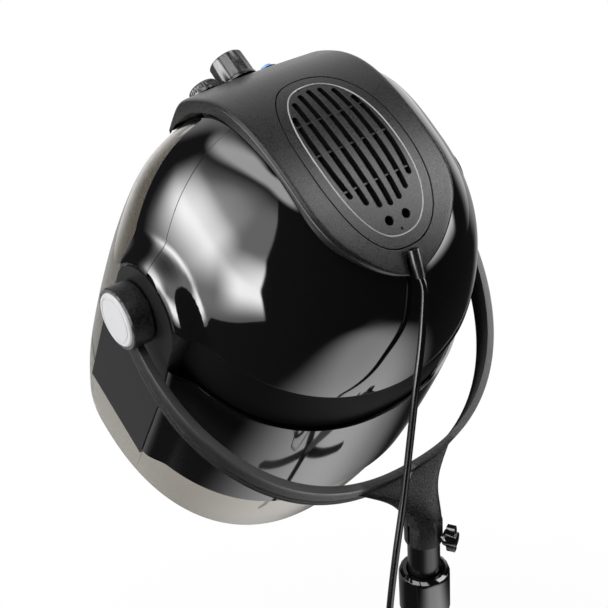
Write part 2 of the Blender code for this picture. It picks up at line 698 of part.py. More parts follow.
add("power_rocker", front(rocker, SWITCH_X, 18), BLUE, HOOD, (SWITCH_X, -(FACE_S - 0.001), CONTROL_Z))

# Cord gland in the tail of the spine cover
GLAND_A = np.array((-0.094, 0.1395))
GLAND_B = np.array((-0.1155, 0.1252))
axis2 = (GLAND_B - GLAND_A) / np.linalg.norm(GLAND_B - GLAND_A)
GLAND_LEN = float(np.linalg.norm(GLAND_B - GLAND_A))
GLAND_R = 0.0056
gland_turn = Vector((0.0, 0.0, 1.0)).rotation_difference(Vector((0.0, -axis2[0],
                                                                 axis2[1]))).to_matrix().to_4x4()
GLAND = HOOD @ Matrix.Translation((0.0, -GLAND_A[0], GLAND_A[1])) @ gland_turn
profile = [(CORD_R + FIT, 0.0), (GLAND_R, 0.0), (GLAND_R, 0.012), (GLAND_R - 0.0006, 0.019),
           (CORD_R + 0.0012, GLAND_LEN),
           (CORD_R + FIT, GLAND_LEN)]
add("cord_gland", bm_revolve(profile, 16), TEXTURED, GLAND)
room = bm_revolve([(0.0, -0.004), (GLAND_R + FIT, -0.004), (GLAND_R + FIT, GLAND_LEN + 0.02),
                   (0.0, GLAND_LEN + 0.02)], 20)
gland_room = add("gland_room", room, None, GLAND, cutter=True)
cut(dome, gland_room)
cut(spine, gland_room)
cut(vent, gland_room)

# Perforated inner bowl with a rim flange that reaches the rear wall, open towards the visor
BOWL_WALL = 0.0025
BOWL_LOW = -0.168
BOWL_TURN = -0.050
BOWL_OPEN = math.radians(74.0)
FLANGE_GAP = 0.0016
rows = [LINER.row((-0.004, z), BACK, fan(0, 19)) for z in (BOWL_LOW, -0.110, BOWL_TURN)]
for i in range(1, 7):
    rows.append(LINER.row((-0.004, BOWL_TURN), BACK - (BACK - BOWL_OPEN) * i / 6.0, fan(8, 19)))
edge = [np.array(q) - HULL.normal(q) * (WALL + FLANGE_GAP) for q in HULL.row((-0.004, BOWL_LOW), BACK,
                                                                             fan(0, 19))]
inside = [[(q[0], -q[1], q[2]) for q in edge]]
outside = [[(q[0], -q[1], q[2] + BOWL_WALL) for q in edge]]
for k, r in enumerate(rows):
    lift = BOWL_WALL if k == 0 else 0.0
    walls = [(np.array(p), np.array(p) - LINER.normal(p) * BOWL_WALL) for p in r]
    inside.append([(b[0], -b[1], b[2]) for a, b in walls])
    outside.append([(a[0], -a[1], a[2] + lift) for a, b in walls])
bowl = add("inner_bowl", bm_between(inside, outside), INNER, HOOD)
holes = bmesh.new()
for count, reach, height in ((5, 0.048, 0.0), (8, 0.084, 0.0)):
    for k in range(count):
        a = 2.0 * math.pi * (k + 0.5) / count
        m = Matrix.Translation((reach * math.cos(a), 0.012 + reach * math.sin(a), 0.045))
        bmesh.ops.create_cone(holes, cap_ends=True, segments=6, radius1=0.007, radius2=0.007, depth=0.060,
                              matrix=m)
cut(bowl, add("bowl_holes", holes, None, HOOD, cutter=True))
for tag, sign in (("l", 1.0), ("r", -1.0)):
    edge = bm_prism(grown(CHEEK, 0.0006), sign * 0.1560, sign * 0.205, "X")
    cut(bowl, add("flange_gap_" + tag, edge, None, HOOD, cutter=True))

# Motor, fan and heating ring between the bowl and the shell
MID = (0.0, 0.005, 0.0)
PLATE_Z = 0.0626
disc = [(0.0, PLATE_Z), (0.040, PLATE_Z), (0.058, PLATE_Z + 0.0012), (0.058, PLATE_Z + 0.0040),
        (0.0, PLATE_Z + 0.0040)]
add("motor_plate", bm_revolve(disc, 24, "Z", MID), STEEL, HOOD)
MOTOR_Z = PLATE_Z + 0.0040 + FIT
case = [(0.0, MOTOR_Z), (0.026, MOTOR_Z), (0.027, MOTOR_Z + 0.002), (0.027, MOTOR_Z + 0.034),
        (0.022, MOTOR_Z + 0.038), (0.003, MOTOR_Z + 0.038), (0.003, MOTOR_Z + 0.062), (0.0, MOTOR_Z + 0.062)]
add("fan_motor", bm_revolve(case, 18, "Z", MID), STEEL, HOOD)
FAN_Z = MOTOR_Z + 0.0405
star = []
for k in range(9):
    a = 2.0 * math.pi * k / 9.0
    for r, off in ((0.024, -0.0016), (0.068, -0.0016), (0.068, 0.0016), (0.024, 0.0016)):
        star.append((r * math.cos(a) - off * math.sin(a), 0.005 + r * math.sin(a) + off * math.cos(a)))
fan_wheel = add("fan_wheel", bm_prism(star, FAN_Z + 0.0015, FAN_Z + 0.018), INNER, HOOD,
                (0.0, 0.005, FAN_Z))
disc = bm_revolve([(0.0, FAN_Z), (0.070, FAN_Z), (0.070, FAN_Z + 0.0022), (0.0, FAN_Z + 0.0022)], 32, "Z",
                  MID)
cut(fan_wheel, add("fan_disc", disc, None, HOOD, cutter=True), "UNION")
bore = bm_revolve([(0.0, FAN_Z - 0.002), (0.003 + FIT, FAN_Z - 0.002), (0.003 + FIT, FAN_Z + 0.03),
                   (0.0, FAN_Z + 0.03)], 20, "Z", MID)
cut(fan_wheel, add("fan_bore", bore, None, HOOD, cutter=True))


def tube(name, points, radius, mat, frame, res=2, origin=(0.0, 0.0, 0.0), tol=1e-6):
    """Round tube along a row of points, closed at both ends."""
    cu = bpy.data.curves.new(name, "CURVE")
    cu.dimensions = "3D"
    cu.bevel_depth = radius
    cu.bevel_resolution = res
    cu.use_fill_caps = True
    sp = cu.splines.new("POLY")
    sp.points.add(len(points) - 1)
    for q, p in zip(sp.points, points):
        q.co = (p[0], p[1], p[2], 1.0)
    tmp = bpy.data.objects.new(name + "_curve", cu)
    PARTS.objects.link(tmp)
    bpy.context.view_layer.update()
    me = bpy.data.meshes.new_from_object(tmp.evaluated_get(bpy.context.evaluated_depsgraph_get()))
    bpy.data.objects.remove(tmp, do_unlink=True)
    bm = bmesh.new()
    bm.from_mesh(me)
    bpy.data.meshes.remove(me)
    bmesh.ops.remove_doubles(bm, verts=bm.verts[:], dist=tol)
    return add(name, bm, mat, frame, origin)


HEAT_R = 0.082
HEAT_Z = PLATE_Z + 0.016
pts = []
for k in range(21):
    a = math.radians(20 + 320 * k / 20.0)
    pts.append((HEAT_R * math.cos(a), 0.005 + HEAT_R * math.sin(a), HEAT_Z))


def leg(a):
    c, s = math.cos(math.radians(a)), math.sin(math.radians(a))
    return [(0.046 * c, 0.005 + 0.046 * s, PLATE_Z + 0.0040 + FIT),
            (0.046 * c, 0.005 + 0.046 * s, HEAT_Z - 0.004),
            (0.050 * c, 0.005 + 0.050 * s, HEAT_Z), (0.074 * c, 0.005 + 0.074 * s, HEAT_Z)]


tube("heating_ring", leg(14) + pts + leg(346)[::-1], 0.0032, STEEL, HOOD, 1)

# Pivot hardware
for tag, sign in (("l", 1.0), ("r", -1.0)):
    ax = "X" if sign > 0 else "-X"
    at = (0.0, PIVOT_Y, PIVOT_Z)
    ring_pts = []
    for k in range(24):
        a = 2.0 * math.pi * k / 24.0
        r = WASHER_R if (k // 2) % 2 else WASHER_R - 0.0022
        ring_pts.append((r * math.cos(a) + PIVOT_Y, r * math.sin(a) + PIVOT_Z))
    w = add("pivot_washer_" + tag, bm_prism(ring_pts, sign * (CHEEK_FACE + FIT),
                                            sign * (CHEEK_FACE + FIT + WASHER_T), "X"), TEXTURED,
            WORLD, at)
    hole = bm_revolve([(0.0, CHEEK_FACE - 0.01), (BOLT_R + FIT, CHEEK_FACE - 0.01),
                       (BOLT_R + FIT, CHEEK_FACE + 0.01), (0.0, CHEEK_FACE + 0.01)], 24, ax, at)
    cut(w, add("washer_bore_" + tag, hole, None, cutter=True))
    seat = BOSS_OUT - CAP_SEAT
    bolt = [(0.0, CHEEK_BOSS_IN + 0.003), (BOLT_R, CHEEK_BOSS_IN + 0.003), (BOLT_R, seat - 0.0068),
            (BOLT_HEAD_R, seat - 0.0068),
            (BOLT_HEAD_R, seat - 0.0006), (0.0, seat - 0.0006)]
    add("pivot_bolt_" + tag, bm_revolve(bolt, 16, ax, at), STEEL, WORLD, at)
    cap = [(0.0, seat + FIT), (CAP_R - FIT, seat + FIT), (CAP_R - FIT, BOSS_OUT + 0.0006),
           (CAP_R - 0.0016, BOSS_OUT + 0.0016), (0.0, BOSS_OUT + 0.0022)]
    add("pivot_cap_" + tag, bm_revolve(cap, 24, ax, at), WHITE, WORLD, at)

# Fork: a tall band with channelled faces, swept round the hood, joined to the socket by a flare
DROP = Vector((0.0, math.cos(FORK_DROP), -math.sin(FORK_DROP)))
LEAN = Vector((0.0, math.sin(FORK_LEAN), math.cos(FORK_LEAN)))
SECTION = [(0.50, 0.00), (0.50, -0.62), (0.28, -0.68), (0.48, -0.76), (0.48, -0.84), (0.28, -0.90),
           (0.46, -1.00), (-0.50, -1.00), (-0.28, -0.86), (-0.28, -0.14), (-0.50, 0.00)]
PIVOT = Vector((0.0, PIVOT_Y, PIVOT_Z))
START = 0.010


def fork_at(t):
    e = 2.0 / FORK_EXP
    c, s = math.cos(t), math.sin(t)
    x = FORK_W * math.copysign(abs(c) ** e, c)
    d = FORK_D * abs(s) ** e
    pinch = FORK_PINCH * (1.0 - min(d / 0.12, 1.0)) ** 2
    return x - math.copysign(pinch, c), d


t0 = math.asin((START / FORK_D) ** (FORK_EXP / 2.0))
stations = 25
bm = bmesh.new()
loops = []
for k in range(stations):
    t = t0 + (math.pi - 2 * t0) * k / (stations - 1)
    x, d = fork_at(t)
    xa, da = fork_at(max(t - 0.004, 0.5 * t0))
    xb, db = fork_at(min(t + 0.004, math.pi - 0.5 * t0))
    tx, td = xb - xa, db - da
    ln = math.hypot(tx, td)
    out = Vector((td / ln, 0.0, 0.0)) + DROP * (-tx / ln)
    base = PIVOT + Vector((x, 0.0, 0.0)) + DROP * d
    grow = min(1.0, 0.74 + 0.26 * d / 0.10)
    loops.append([bm.verts.new(base + out * (a * FORK_T) + LEAN * (g * FORK_H * grow)) for a, g in SECTION])
for k in range(stations - 1):
    m = len(SECTION)
    for j in range(m):
        q = (j + 1) % m
        bm.faces.new((loops[k][j], loops[k][q], loops[k + 1][q], loops[k + 1][j]))
bm.faces.new(loops[0])
bm.faces.new(loops[-1])
yoke = add("yoke", bm, TEXTURED, WORLD, (0.0, COLUMN_Y, HOOD_Z + SOCKET_LOW))
# Height, half width, half depth and reach to the back of the flare's levels
FLARE = [(-0.250, 0.0180, 0.0180, COLUMN_BACK), (-0.236, 0.0186, 0.0180, COLUMN_BACK - 0.0008),
         (-0.226, 0.0204, 0.0168, COLUMN_BACK - 0.0040), (-0.217, 0.0246, 0.0145, COLUMN_BACK - 0.0095),
         (-0.209, 0.0325, 0.0112, COLUMN_BACK - 0.0150), (-0.202, 0.0460, 0.0068, COLUMN_BACK - 0.0200),
         (-0.196, 0.0630, 0.0028, COLUMN_BACK - 0.0240)]
bm = bmesh.new()
rows = []
for level, (z, half, deep, back) in enumerate(FLARE):
    bent = (level / (len(FLARE) - 1.0)) ** 2
    row = []
    for k in range(20):
        a = 2.0 * math.pi * (k + 0.5) / 20.0
        x = half * math.cos(a)
        lag = bent * (FORK_D - fork_at(math.acos((abs(x) / FORK_W) ** (FORK_EXP / 2.0)))[1])
        y = HOOD_Y + back + deep * math.sin(a) - lag * math.cos(FORK_DROP)
        row.append(bm.verts.new((x, y, HOOD_Z + z + lag * math.sin(FORK_DROP))))
    rows.append(row)
for ra, rb in zip(rows, rows[1:]):
    for k in range(20):
        q = (k + 1) % 20
        bm.faces.new((ra[k], ra[q], rb[q], rb[k]))
bm.faces.new(rows[0])
bm.faces.new(rows[-1])
cut(yoke, add("fork_flare", bm, None, cutter=True), "UNION")
top = HOOD_Z + SOCKET_TOP
low = HOOD_Z + SOCKET_LOW
stem = [(0.0, low), (SOCKET_R - 0.0008, low), (SOCKET_R, low + 0.0008), (SOCKET_R, top - 0.008),
        (SOCKET_R * 0.82, top), (0.0, top + 0.003)]
cut(yoke, add("fork_stem", bm_revolve(stem, 20, "Z", (0.0, COLUMN_Y, 0.0)), None, cutter=True), "UNION")
for tag, sign in (("l", 1.0), ("r", -1.0)):
    ax = "X" if sign > 0 else "-X"
    at = (0.0, PIVOT_Y, PIVOT_Z)
    barrel = [(0.0, BOSS_IN), (BOSS_R - 0.001, BOSS_IN), (BOSS_R, BOSS_IN + 0.001),
              (BOSS_R, BOSS_OUT - 0.0012), (BOSS_R - 0.0012, BOSS_OUT), (0.0, BOSS_OUT)]
    cut(yoke, add("fork_boss_" + tag, bm_revolve(barrel, 24, ax, at), None, cutter=True), "UNION")
    seat = BOSS_OUT - CAP_SEAT
    hollow = [(0.0, BOSS_IN - 0.01), (BOLT_R + FIT, BOSS_IN - 0.01), (BOLT_R + FIT, seat - 0.0068 - FIT),
              (BOLT_HEAD_R + FIT, seat - 0.0068 - FIT),
              (BOLT_HEAD_R + FIT, seat), (CAP_R, seat), (CAP_R, BOSS_OUT + 0.01), (0.0, BOSS_OUT + 0.01)]
    cut(yoke, add("fork_hollow_" + tag, bm_revolve(hollow, 24, ax, at), None, cutter=True))
bore = [(0.0, low - 0.01), (SPIGOT_R + FIT, low - 0.01), (SPIGOT_R + FIT, low + SPIGOT_LEN + 0.002),
        (0.0, low + SPIGOT_LEN + 0.002)]
cut(yoke, add("socket_bore", bm_revolve(bore, 22, "Z", (0.0, COLUMN_Y, 0.0)), None, cutter=True))
cut(yoke, add("socket_split", bm_box((0.010, COLUMN_Y - 0.0015, low - 0.01),
                                     (0.030, COLUMN_Y + 0.0015, low + SPIGOT_LEN)), None,
             cutter=True))
PIN_R = 0.003
CLAMP = Matrix.Translation((0.0, COLUMN_Y, HOOD_Z + KNOB_Z)) @ Matrix.Rotation(KNOB_TURN, 4, "Z")
hole = bm_revolve([(0.0, 0.008), (PIN_R + FIT, 0.008), (PIN_R + FIT, 0.030), (0.0, 0.030)], 14, "-X")
cut(yoke, add("pin_hole", hole, None, CLAMP, cutter=True))

# Clamp knob: pin, collar and two-winged grip
SEAT_X = SOCKET_R + 0.0022
pin = [(0.0, SPIGOT_R + FIT), (PIN_R, SPIGOT_R + FIT), (PIN_R, SEAT_X), (0.0075, SEAT_X),
       (0.0085, SEAT_X + 0.003),
       (0.0070, SEAT_X + 0.013), (0.0, SEAT_X + 0.014)]
clamp = add("clamp_knob", bm_revolve(pin, 14, "-X"), TEXTURED, CLAMP)
wing = [(0.0030, 0.0), (0.0042, 0.0090), (0.0026, 0.0150), (-0.0026, 0.0150), (-0.0042, 0.0090)]
wing += [(-a, -b) for a, b in wing]
bm = bm_prism(wing, -(SEAT_X + 0.0115), -(SEAT_X + 0.0030), "X")
cut(clamp, add("clamp_wing", bm, None, CLAMP, cutter=True), "UNION")

# Column: inner post with its bush, outer tube, collar
POST_TOP = low - FIT
COLLAR_TOP = POST_TOP - POST_SHOW
POST_LOW = POST_TOP - POST_LEN
TUBE_IN = TUBE_R - TUBE_WALL
post = [(POST_BORE, POST_LOW), (POST_R, POST_LOW), (POST_R, POST_TOP), (SPIGOT_R, POST_TOP),
        (SPIGOT_R, POST_TOP + SPIGOT_LEN), (POST_BORE, POST_TOP + SPIGOT_LEN)]
add("post", bm_revolve(post, 22, "Z", (0.0, COLUMN_Y, 0.0)), BLACKED, WORLD, (0.0, COLUMN_Y, POST_LOW))
bush = [(POST_R + FIT, POST_LOW), (TUBE_IN - FIT, POST_LOW), (TUBE_IN - FIT, POST_LOW + 0.040),
        (POST_R + FIT, POST_LOW + 0.040)]
add("post_bush", bm_revolve(bush, 22, "Z", (0.0, COLUMN_Y, 0.0)), INNER, WORLD, (0.0, COLUMN_Y, POST_LOW))
TUBE_LOW = HUB_LOW + HUB_SEAT + FIT
TUBE_TOP = COLLAR_TOP - 0.008
shell = [(TUBE_IN, TUBE_LOW), (TUBE_R, TUBE_LOW), (TUBE_R, TUBE_TOP), (TUBE_IN, TUBE_TOP)]
add("column_tube", bm_revolve(shell, 22, "Z", (0.0, COLUMN_Y, 0.0)), BLACKED, WORLD,
    (0.0, COLUMN_Y, TUBE_LOW))
z = COLLAR_TOP
collar = [(POST_R + FIT, z - 0.0012), (POST_R + 0.0018, z), (COLLAR_R - 0.0042, z),
          (COLLAR_R - 0.0010, z - 0.0020), (COLLAR_R, z - 0.0055),
          (COLLAR_R, z - COLLAR_H + 0.010), (COLLAR_R - 0.0016, z - COLLAR_H + 0.002),
          (TUBE_R + 0.0022, z - COLLAR_H), (TUBE_R + FIT, z - COLLAR_H),
          (TUBE_R + FIT, TUBE_TOP + FIT), (POST_R + FIT, TUBE_TOP + FIT)]
add("column_collar", bm_revolve(collar, 22, "Z", (0.0, COLUMN_Y, 0.0)), GLOSS, WORLD, (0.0, COLUMN_Y, z))

# Five-leg base with a castor under each leg
hub_top = HUB_LOW + HUB_H
hub = [(0.0, HUB_LOW), (HUB_R - 0.002, HUB_LOW), (HUB_R, HUB_LOW + 0.002), (HUB_R, hub_top - 0.020),
       (0.030, hub_top - 0.002), (0.028, hub_top),
       (TUBE_R + FIT, hub_top), (TUBE_R + FIT, HUB_LOW + HUB_SEAT), (0.0, HUB_LOW + HUB_SEAT)]
base = add("star_base", bm_revolve(hub, 22, "Z", (0.0, COLUMN_Y, 0.0)), BLACKED, WORLD,
           (0.0, COLUMN_Y, 0.0))
FORK_GAP = 0.0006
LEG_LOW = HUB_LOW + 0.002
for k in range(LEGS):
    a = math.radians(-90.0 + 360.0 * k / LEGS)
    turn = Matrix.Translation((0.0, COLUMN_Y, 0.0)) @ Matrix.Rotation(a, 4, "Z")
    bm = bmesh.new()
    rows = []
    for x, w, h in ((HUB_R - 0.0125, 0.0205, 0.0323), (0.110, 0.018, 0.0285), (0.200, 0.016, 0.025),
                    (LEG_REACH, 0.0150, 0.0225)):
        c = min(0.006, 0.3 * w)
        prof = [(-w, LEG_LOW), (w, LEG_LOW), (w, LEG_LOW + h - c), (w - c, LEG_LOW + h),
                (-w + c, LEG_LOW + h), (-w, LEG_LOW + h - c)]
        rows.append([bm.verts.new((x, y, z)) for y, z in prof])
    for i in range(3):
        for j in range(6):
            q = (j + 1) % 6
            bm.faces.new((rows[i][j], rows[i][q], rows[i + 1][q], rows[i + 1][j]))
    bm.faces.new(rows[0])
    bm.faces.new(rows[-1])
    cut(base, add("leg_%d" % k, bm, None, turn, cutter=True), "UNION")
    end = [(0.0, LEG_LOW - 0.0006), (0.0168, LEG_LOW - 0.0006), (0.0168, LEG_LOW + 0.0205),
           (0.0150, LEG_LOW + 0.0228), (0.0, LEG_LOW + 0.0236)]
    cut(base, add("leg_end_%d" % k, bm_revolve(end, 10, "Z", (LEG_REACH, 0.0, 0.0)), None, turn,
                  cutter=True), "UNION")
    hole = [(0.0, LEG_LOW - 0.01), (CASTOR_HOLE_R, LEG_LOW - 0.01), (CASTOR_HOLE_R, LEG_LOW + 0.0185),
            (0.0, LEG_LOW + 0.0185)]
    cut(base, add("leg_hole_%d" % k, bm_revolve(hole, 10, "Z", (LEG_REACH, 0.0, 0.0)), None, turn,
                  cutter=True))
    top_z = LEG_LOW - 0.0006 - FORK_GAP
    wheel_x = LEG_REACH + CASTOR_TRAIL
    cheek_in = CASTOR_W / 2 + 0.0008
    cheek_out = cheek_in + 0.0030
    roof = 2 * CASTOR_R + 0.0030
    horn = [(LEG_REACH - 0.013, roof), (LEG_REACH - 0.004, roof - 0.014),
            (wheel_x - 0.008, CASTOR_R - 0.006), (wheel_x, CASTOR_R - 0.009),
            (wheel_x + 0.008, CASTOR_R - 0.006), (wheel_x + 0.011, CASTOR_R + 0.004),
            (LEG_REACH + 0.015, roof), (LEG_REACH + 0.013, top_z), (LEG_REACH - 0.013, top_z)]
    fork = add("castor_fork_%d" % (k + 1), bm_prism(horn, -cheek_out, cheek_out, "Y"), TEXTURED, turn,
               (LEG_REACH, 0.0, 0.0))
    gap = bm_box((LEG_REACH - 0.05, -cheek_in, -0.01), (LEG_REACH + 0.08, cheek_in, roof))
    cut(fork, add("castor_gap_%d" % k, gap, None, turn, cutter=True))
    pin = [(0.0, top_z - 0.002), (CASTOR_PIN_R, top_z - 0.002), (CASTOR_PIN_R, LEG_LOW + 0.0170),
           (0.0, LEG_LOW + 0.0175)]
    cut(fork, add("castor_pin_%d" % k, bm_revolve(pin, 10, "Z", (LEG_REACH, 0.0, 0.0)), None, turn,
                  cutter=True), "UNION")
    axle_at = Vector((wheel_x, 0.0, CASTOR_R))
    eye = bm_revolve([(0.0, -0.03), (0.003 + FIT, -0.03), (0.003 + FIT, 0.03), (0.0, 0.03)], 8, "-Y",
                     axle_at)
    cut(fork, add("castor_eye_%d" % k, eye, None, turn, cutter=True))
    hw = CASTOR_W / 2
    wheel = [(0.0, -cheek_out), (0.003, -cheek_out), (0.003, -hw), (CASTOR_R - 0.003, -hw),
             (CASTOR_R, -hw + 0.004),
             (CASTOR_R, hw - 0.004), (CASTOR_R - 0.003, hw), (0.003, hw), (0.003, cheek_out), (0.0,
                                                                                               cheek_out)]
    add("castor_wheel_%d" % (k + 1), bm_revolve(wheel, 12, "-Y", axle_at), TYRE, turn, axle_at)

# Mains cord: from the gland past the fork and down the column, the spare length coiled on the floor
GLAND_END = GLAND @ Vector((0.0, 0.0, GLAND_LEN - 0.0002))
GLAND_DIR = (GLAND.to_3x3() @ Vector((0.0, 0.0, 1.0))).normalized()


def smooth(points, step):
    """Points at even steps along a smooth curve through a hand-laid route."""
    p = [Vector(q) for q in points]
    fine = []
    for i in range(len(p) - 1):
        a = p[i - 1] if i else p[0] * 2 - p[1]
        d = p[i + 2] if i + 2 < len(p) else p[-1] * 2 - p[-2]
        for k in range(24):
            u = k / 24.0
            fine.append(0.5 * (2 * p[i] + (p[i + 1] - a) * u + (2 * a - 5 * p[i] + 4 * p[i + 1] - d) * u * u
                               + (3 * p[i] - a - 3 * p[i + 1] + d) * u ** 3))
    fine.append(p[-1])
    run = [0.0]
    for a, b in zip(fine, fine[1:]):
        run.append(run[-1] + (b - a).length)
    n = max(2, int(round(run[-1] / step)))
    out, j = [], 0
    for k in range(n + 1):
        t = run[-1] * k / n
        while j < len(run) - 2 and run[j + 1] < t:
            j += 1
        u = (t - run[j]) / max(run[j + 1] - run[j], 1e-9)
        out.append(fine[j] + (fine[j + 1] - fine[j]) * min(u, 1.0))
    return out, run[-1]


CX, CY = 0.0, COLUMN_Y
route = [GLAND_END, GLAND_END + GLAND_DIR * 0.012]
for right, back, up in ((-5, 174, -4), (-11, 177, -30), (-20, 180, -66), (-30, 182, -120),
                        (-42, 185, -178), (-55, 188, -232), (-67, 191, -290),
                        (-75, 193, -350), (-79, 193, -420), (-82, 192, -480)):
    route.append((-0.001 * right, HOOD_Y + 0.001 * back, HOOD_Z + 0.001 * up))
route += [(0.0855, CY + 0.0265, 0.620), (0.0885, CY + 0.0220, 0.450), (0.0910, CY + 0.0160, 0.280),
          (0.0930, CY + 0.0100, 0.140),
          (0.0965, CY + 0.0080, 0.068), (0.1060, CY + 0.0095, 0.0240), (0.1245, CY + 0.0155, 0.0050)]
COIL_AT = Vector((0.172, CY + 0.104, 0.0))
COIL_R = 0.0370
PITCH = 2 * CORD_R + 0.0007
COIL_TURNS = 5
LOOP_POINTS = 18


def coil_points():
    """Two flat layers: three turns winding inward on the floor, a climb, two turns outward on top."""
    pts = []
    n = LOOP_POINTS
    r0 = COIL_R + 1.0 * PITCH
    z0 = CORD_R + 0.0004
    z1 = z0 + 2 * CORD_R + 0.0006
    total = COIL_TURNS * n
    low_turns = 2.5
    for k in range(total + 1):
        u = k / n
        a = math.radians(-53.0) + 2 * math.pi * u
        r = r0 - PITCH * (u if u <= low_turns else 2 * low_turns - u)
        v = min(max((u - (low_turns - 0.25)) / 0.5, 0.0), 1.0)
        z = z0 + (z1 - z0) * (3 * v * v - 2 * v ** 3)
        pts.append(Vector((COIL_AT.x + r * math.cos(a), COIL_AT.y + r * math.sin(a), z)))
    return pts


coil = coil_points()
head = (coil[0] - coil[1]).normalized()
coil = [coil[0] + head * (2 * CORD_R)] + coil
foot = (coil[-1] - coil[-2]).normalized()
coil = coil + [coil[-1] + foot * 0.016, coil[-1] + foot * 0.032]
route = route + [coil[0] + head * 0.050, coil[0] + head * 0.020, coil[0] + head * FIT]
line, length = smooth(route, 0.0240)


def split_at(points, height):
    for i, p in enumerate(points):
        if p.z < height:
            return i
    return len(points) - 1


iu = split_at(line, HOOD_Z - 0.235)
im = split_at(line, HOOD_Z - 0.450)


def shorten(points):
    q = list(points)
    d = (q[1] - q[0]).normalized()
    q[0] = q[0] + d * (FIT * 0.5)
    d = (q[-1] - q[-2]).normalized()
    q[-1] = q[-1] - d * (FIT * 0.5)
    return q


tube("cord_upper", shorten(line[:iu + 1]), CORD_R, CABLE, WORLD, 1)
tube("cord_middle", shorten(line[iu:im + 1]), CORD_R, CABLE, WORLD, 1)
tube("cord_lower", shorten(line[im:]), CORD_R, CABLE, WORLD, 1)
tube("cord_coil", coil, CORD_R, CABLE, WORLD, 1)
least = 1.0
for i in range(len(coil)):
    for j in range(i + LOOP_POINTS // 2, len(coil)):
        least = min(least, (coil[i] - coil[j]).length - 2 * CORD_R)
print("coil least gap mm", round(least * 1000, 3))

# Plug at the end of the coil
PLUG_AT = coil[-1] + foot * FIT
side = Vector((0.0, 0.0, 1.0)).cross(foot).normalized()
plug_frame = Matrix.Translation(PLUG_AT) @ Matrix((foot, side,
                                                   Vector((0.0, 0.0, 1.0)))).transposed().to_4x4()
grip = []
for x, w, h in ((0.0, 0.0042, 0.0042), (0.018, 0.0054, 0.0054), (0.024, 0.0115, 0.0092),
                (0.036, 0.0150, 0.0104), (0.044, 0.0160, 0.0104)):
    ring_row = []
    for k in range(16):
        a = 2.0 * math.pi * k / 16.0
        c, s = math.cos(a), math.sin(a)
        ring_row.append((x, w * math.copysign(abs(c) ** 0.7, c), h * math.copysign(abs(s) ** 0.7, s)))
    grip.append(ring_row)
bm = bmesh.new()
rows = [[bm.verts.new(p) for p in r] for r in grip]
for i in range(len(rows) - 1):
    for j in range(16):
        q = (j + 1) % 16
        bm.faces.new((rows[i][j], rows[i][q], rows[i + 1][q], rows[i + 1][j]))
bm.faces.new(rows[0])
bm.faces.new(rows[-1])
plug = add("mains_plug", bm, CABLE, plug_frame)
for k, y in enumerate((-0.0095, 0.0095)):
    pin = bm_revolve([(0.0, 0.040), (0.0023, 0.040), (0.0023, 0.061), (0.0014, 0.063), (0.0, 0.063)], 14,
                     "X", (0.0, y, 0.0))
    cut(plug, add("plug_pin_%d" % k, pin, None, plug_frame, cutter=True), "UNION")

# Tie round the coil
tie_a = math.radians(75.0)
tie_frame = Matrix.Translation(COIL_AT) @ Matrix.Rotation(tie_a, 4, "Z")
r_in = COIL_R - 2.6 * PITCH
r_out = COIL_R + 2.2 * PITCH
z_top = 4 * CORD_R + 0.0036
hoop = [(r_in, 0.0), (r_out, 0.0), (r_out, z_top), (r_in, z_top)]
bm = bm_prism(hoop, -0.003, 0.003, "Y")
tie = add("coil_tie", bm, INNER, tie_frame)
hole = [(r_in + 0.0009, 0.00030), (r_out - 0.0009, 0.00030), (r_out - 0.0009, z_top - 0.0009),
        (r_in + 0.0009, z_top - 0.0009)]
cut(tie, add("tie_hole", bm_prism(hole, -0.01, 0.01, "Y"), None, tie_frame, cutter=True))
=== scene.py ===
"""Looks of the standing hood dryer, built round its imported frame."""

import math

import bmesh
import bpy
import numpy as np
from mathutils import Matrix, Vector


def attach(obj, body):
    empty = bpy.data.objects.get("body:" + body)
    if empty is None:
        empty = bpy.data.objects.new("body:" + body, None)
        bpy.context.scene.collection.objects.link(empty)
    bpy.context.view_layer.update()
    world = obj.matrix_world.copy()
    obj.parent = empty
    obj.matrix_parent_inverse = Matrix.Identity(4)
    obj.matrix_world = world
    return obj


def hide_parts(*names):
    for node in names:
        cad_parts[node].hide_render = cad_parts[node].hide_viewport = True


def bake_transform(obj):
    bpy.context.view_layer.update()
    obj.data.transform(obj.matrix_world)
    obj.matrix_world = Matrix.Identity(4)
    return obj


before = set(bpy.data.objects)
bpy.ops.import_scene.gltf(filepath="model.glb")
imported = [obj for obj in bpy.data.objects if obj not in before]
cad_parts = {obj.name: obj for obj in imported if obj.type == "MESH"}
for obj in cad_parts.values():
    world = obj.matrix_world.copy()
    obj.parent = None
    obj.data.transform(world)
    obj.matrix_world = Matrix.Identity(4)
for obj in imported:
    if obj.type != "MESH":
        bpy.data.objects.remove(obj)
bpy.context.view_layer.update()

# Studio: a plain pale floor under white surroundings, lit by large soft lamps, with the camera above
# and behind the hood on its own left, at the distance and with the lens that fit the photograph.
scene = bpy.context.scene
scene.view_settings.view_transform = "Standard"

camera_right = Vector((-0.7936, 0.6053, -0.0622))
camera_up = Vector((-0.3768, -0.4086, 0.8313))
camera_back = Vector((0.4777, 0.6831, 0.5524))
camera_place = Vector((0.6562, 0.8390, 1.9024))
camera = bpy.data.objects.new("camera", bpy.data.cameras.new("camera"))
camera.data.sensor_width = 36.0
camera.data.lens = 83.72
camera.matrix_world = (
    Matrix.Translation(camera_place)
    @ Matrix((camera_right, camera_up, camera_back)).transposed().to_4x4()
)
scene.collection.objects.link(camera)
scene.camera = camera


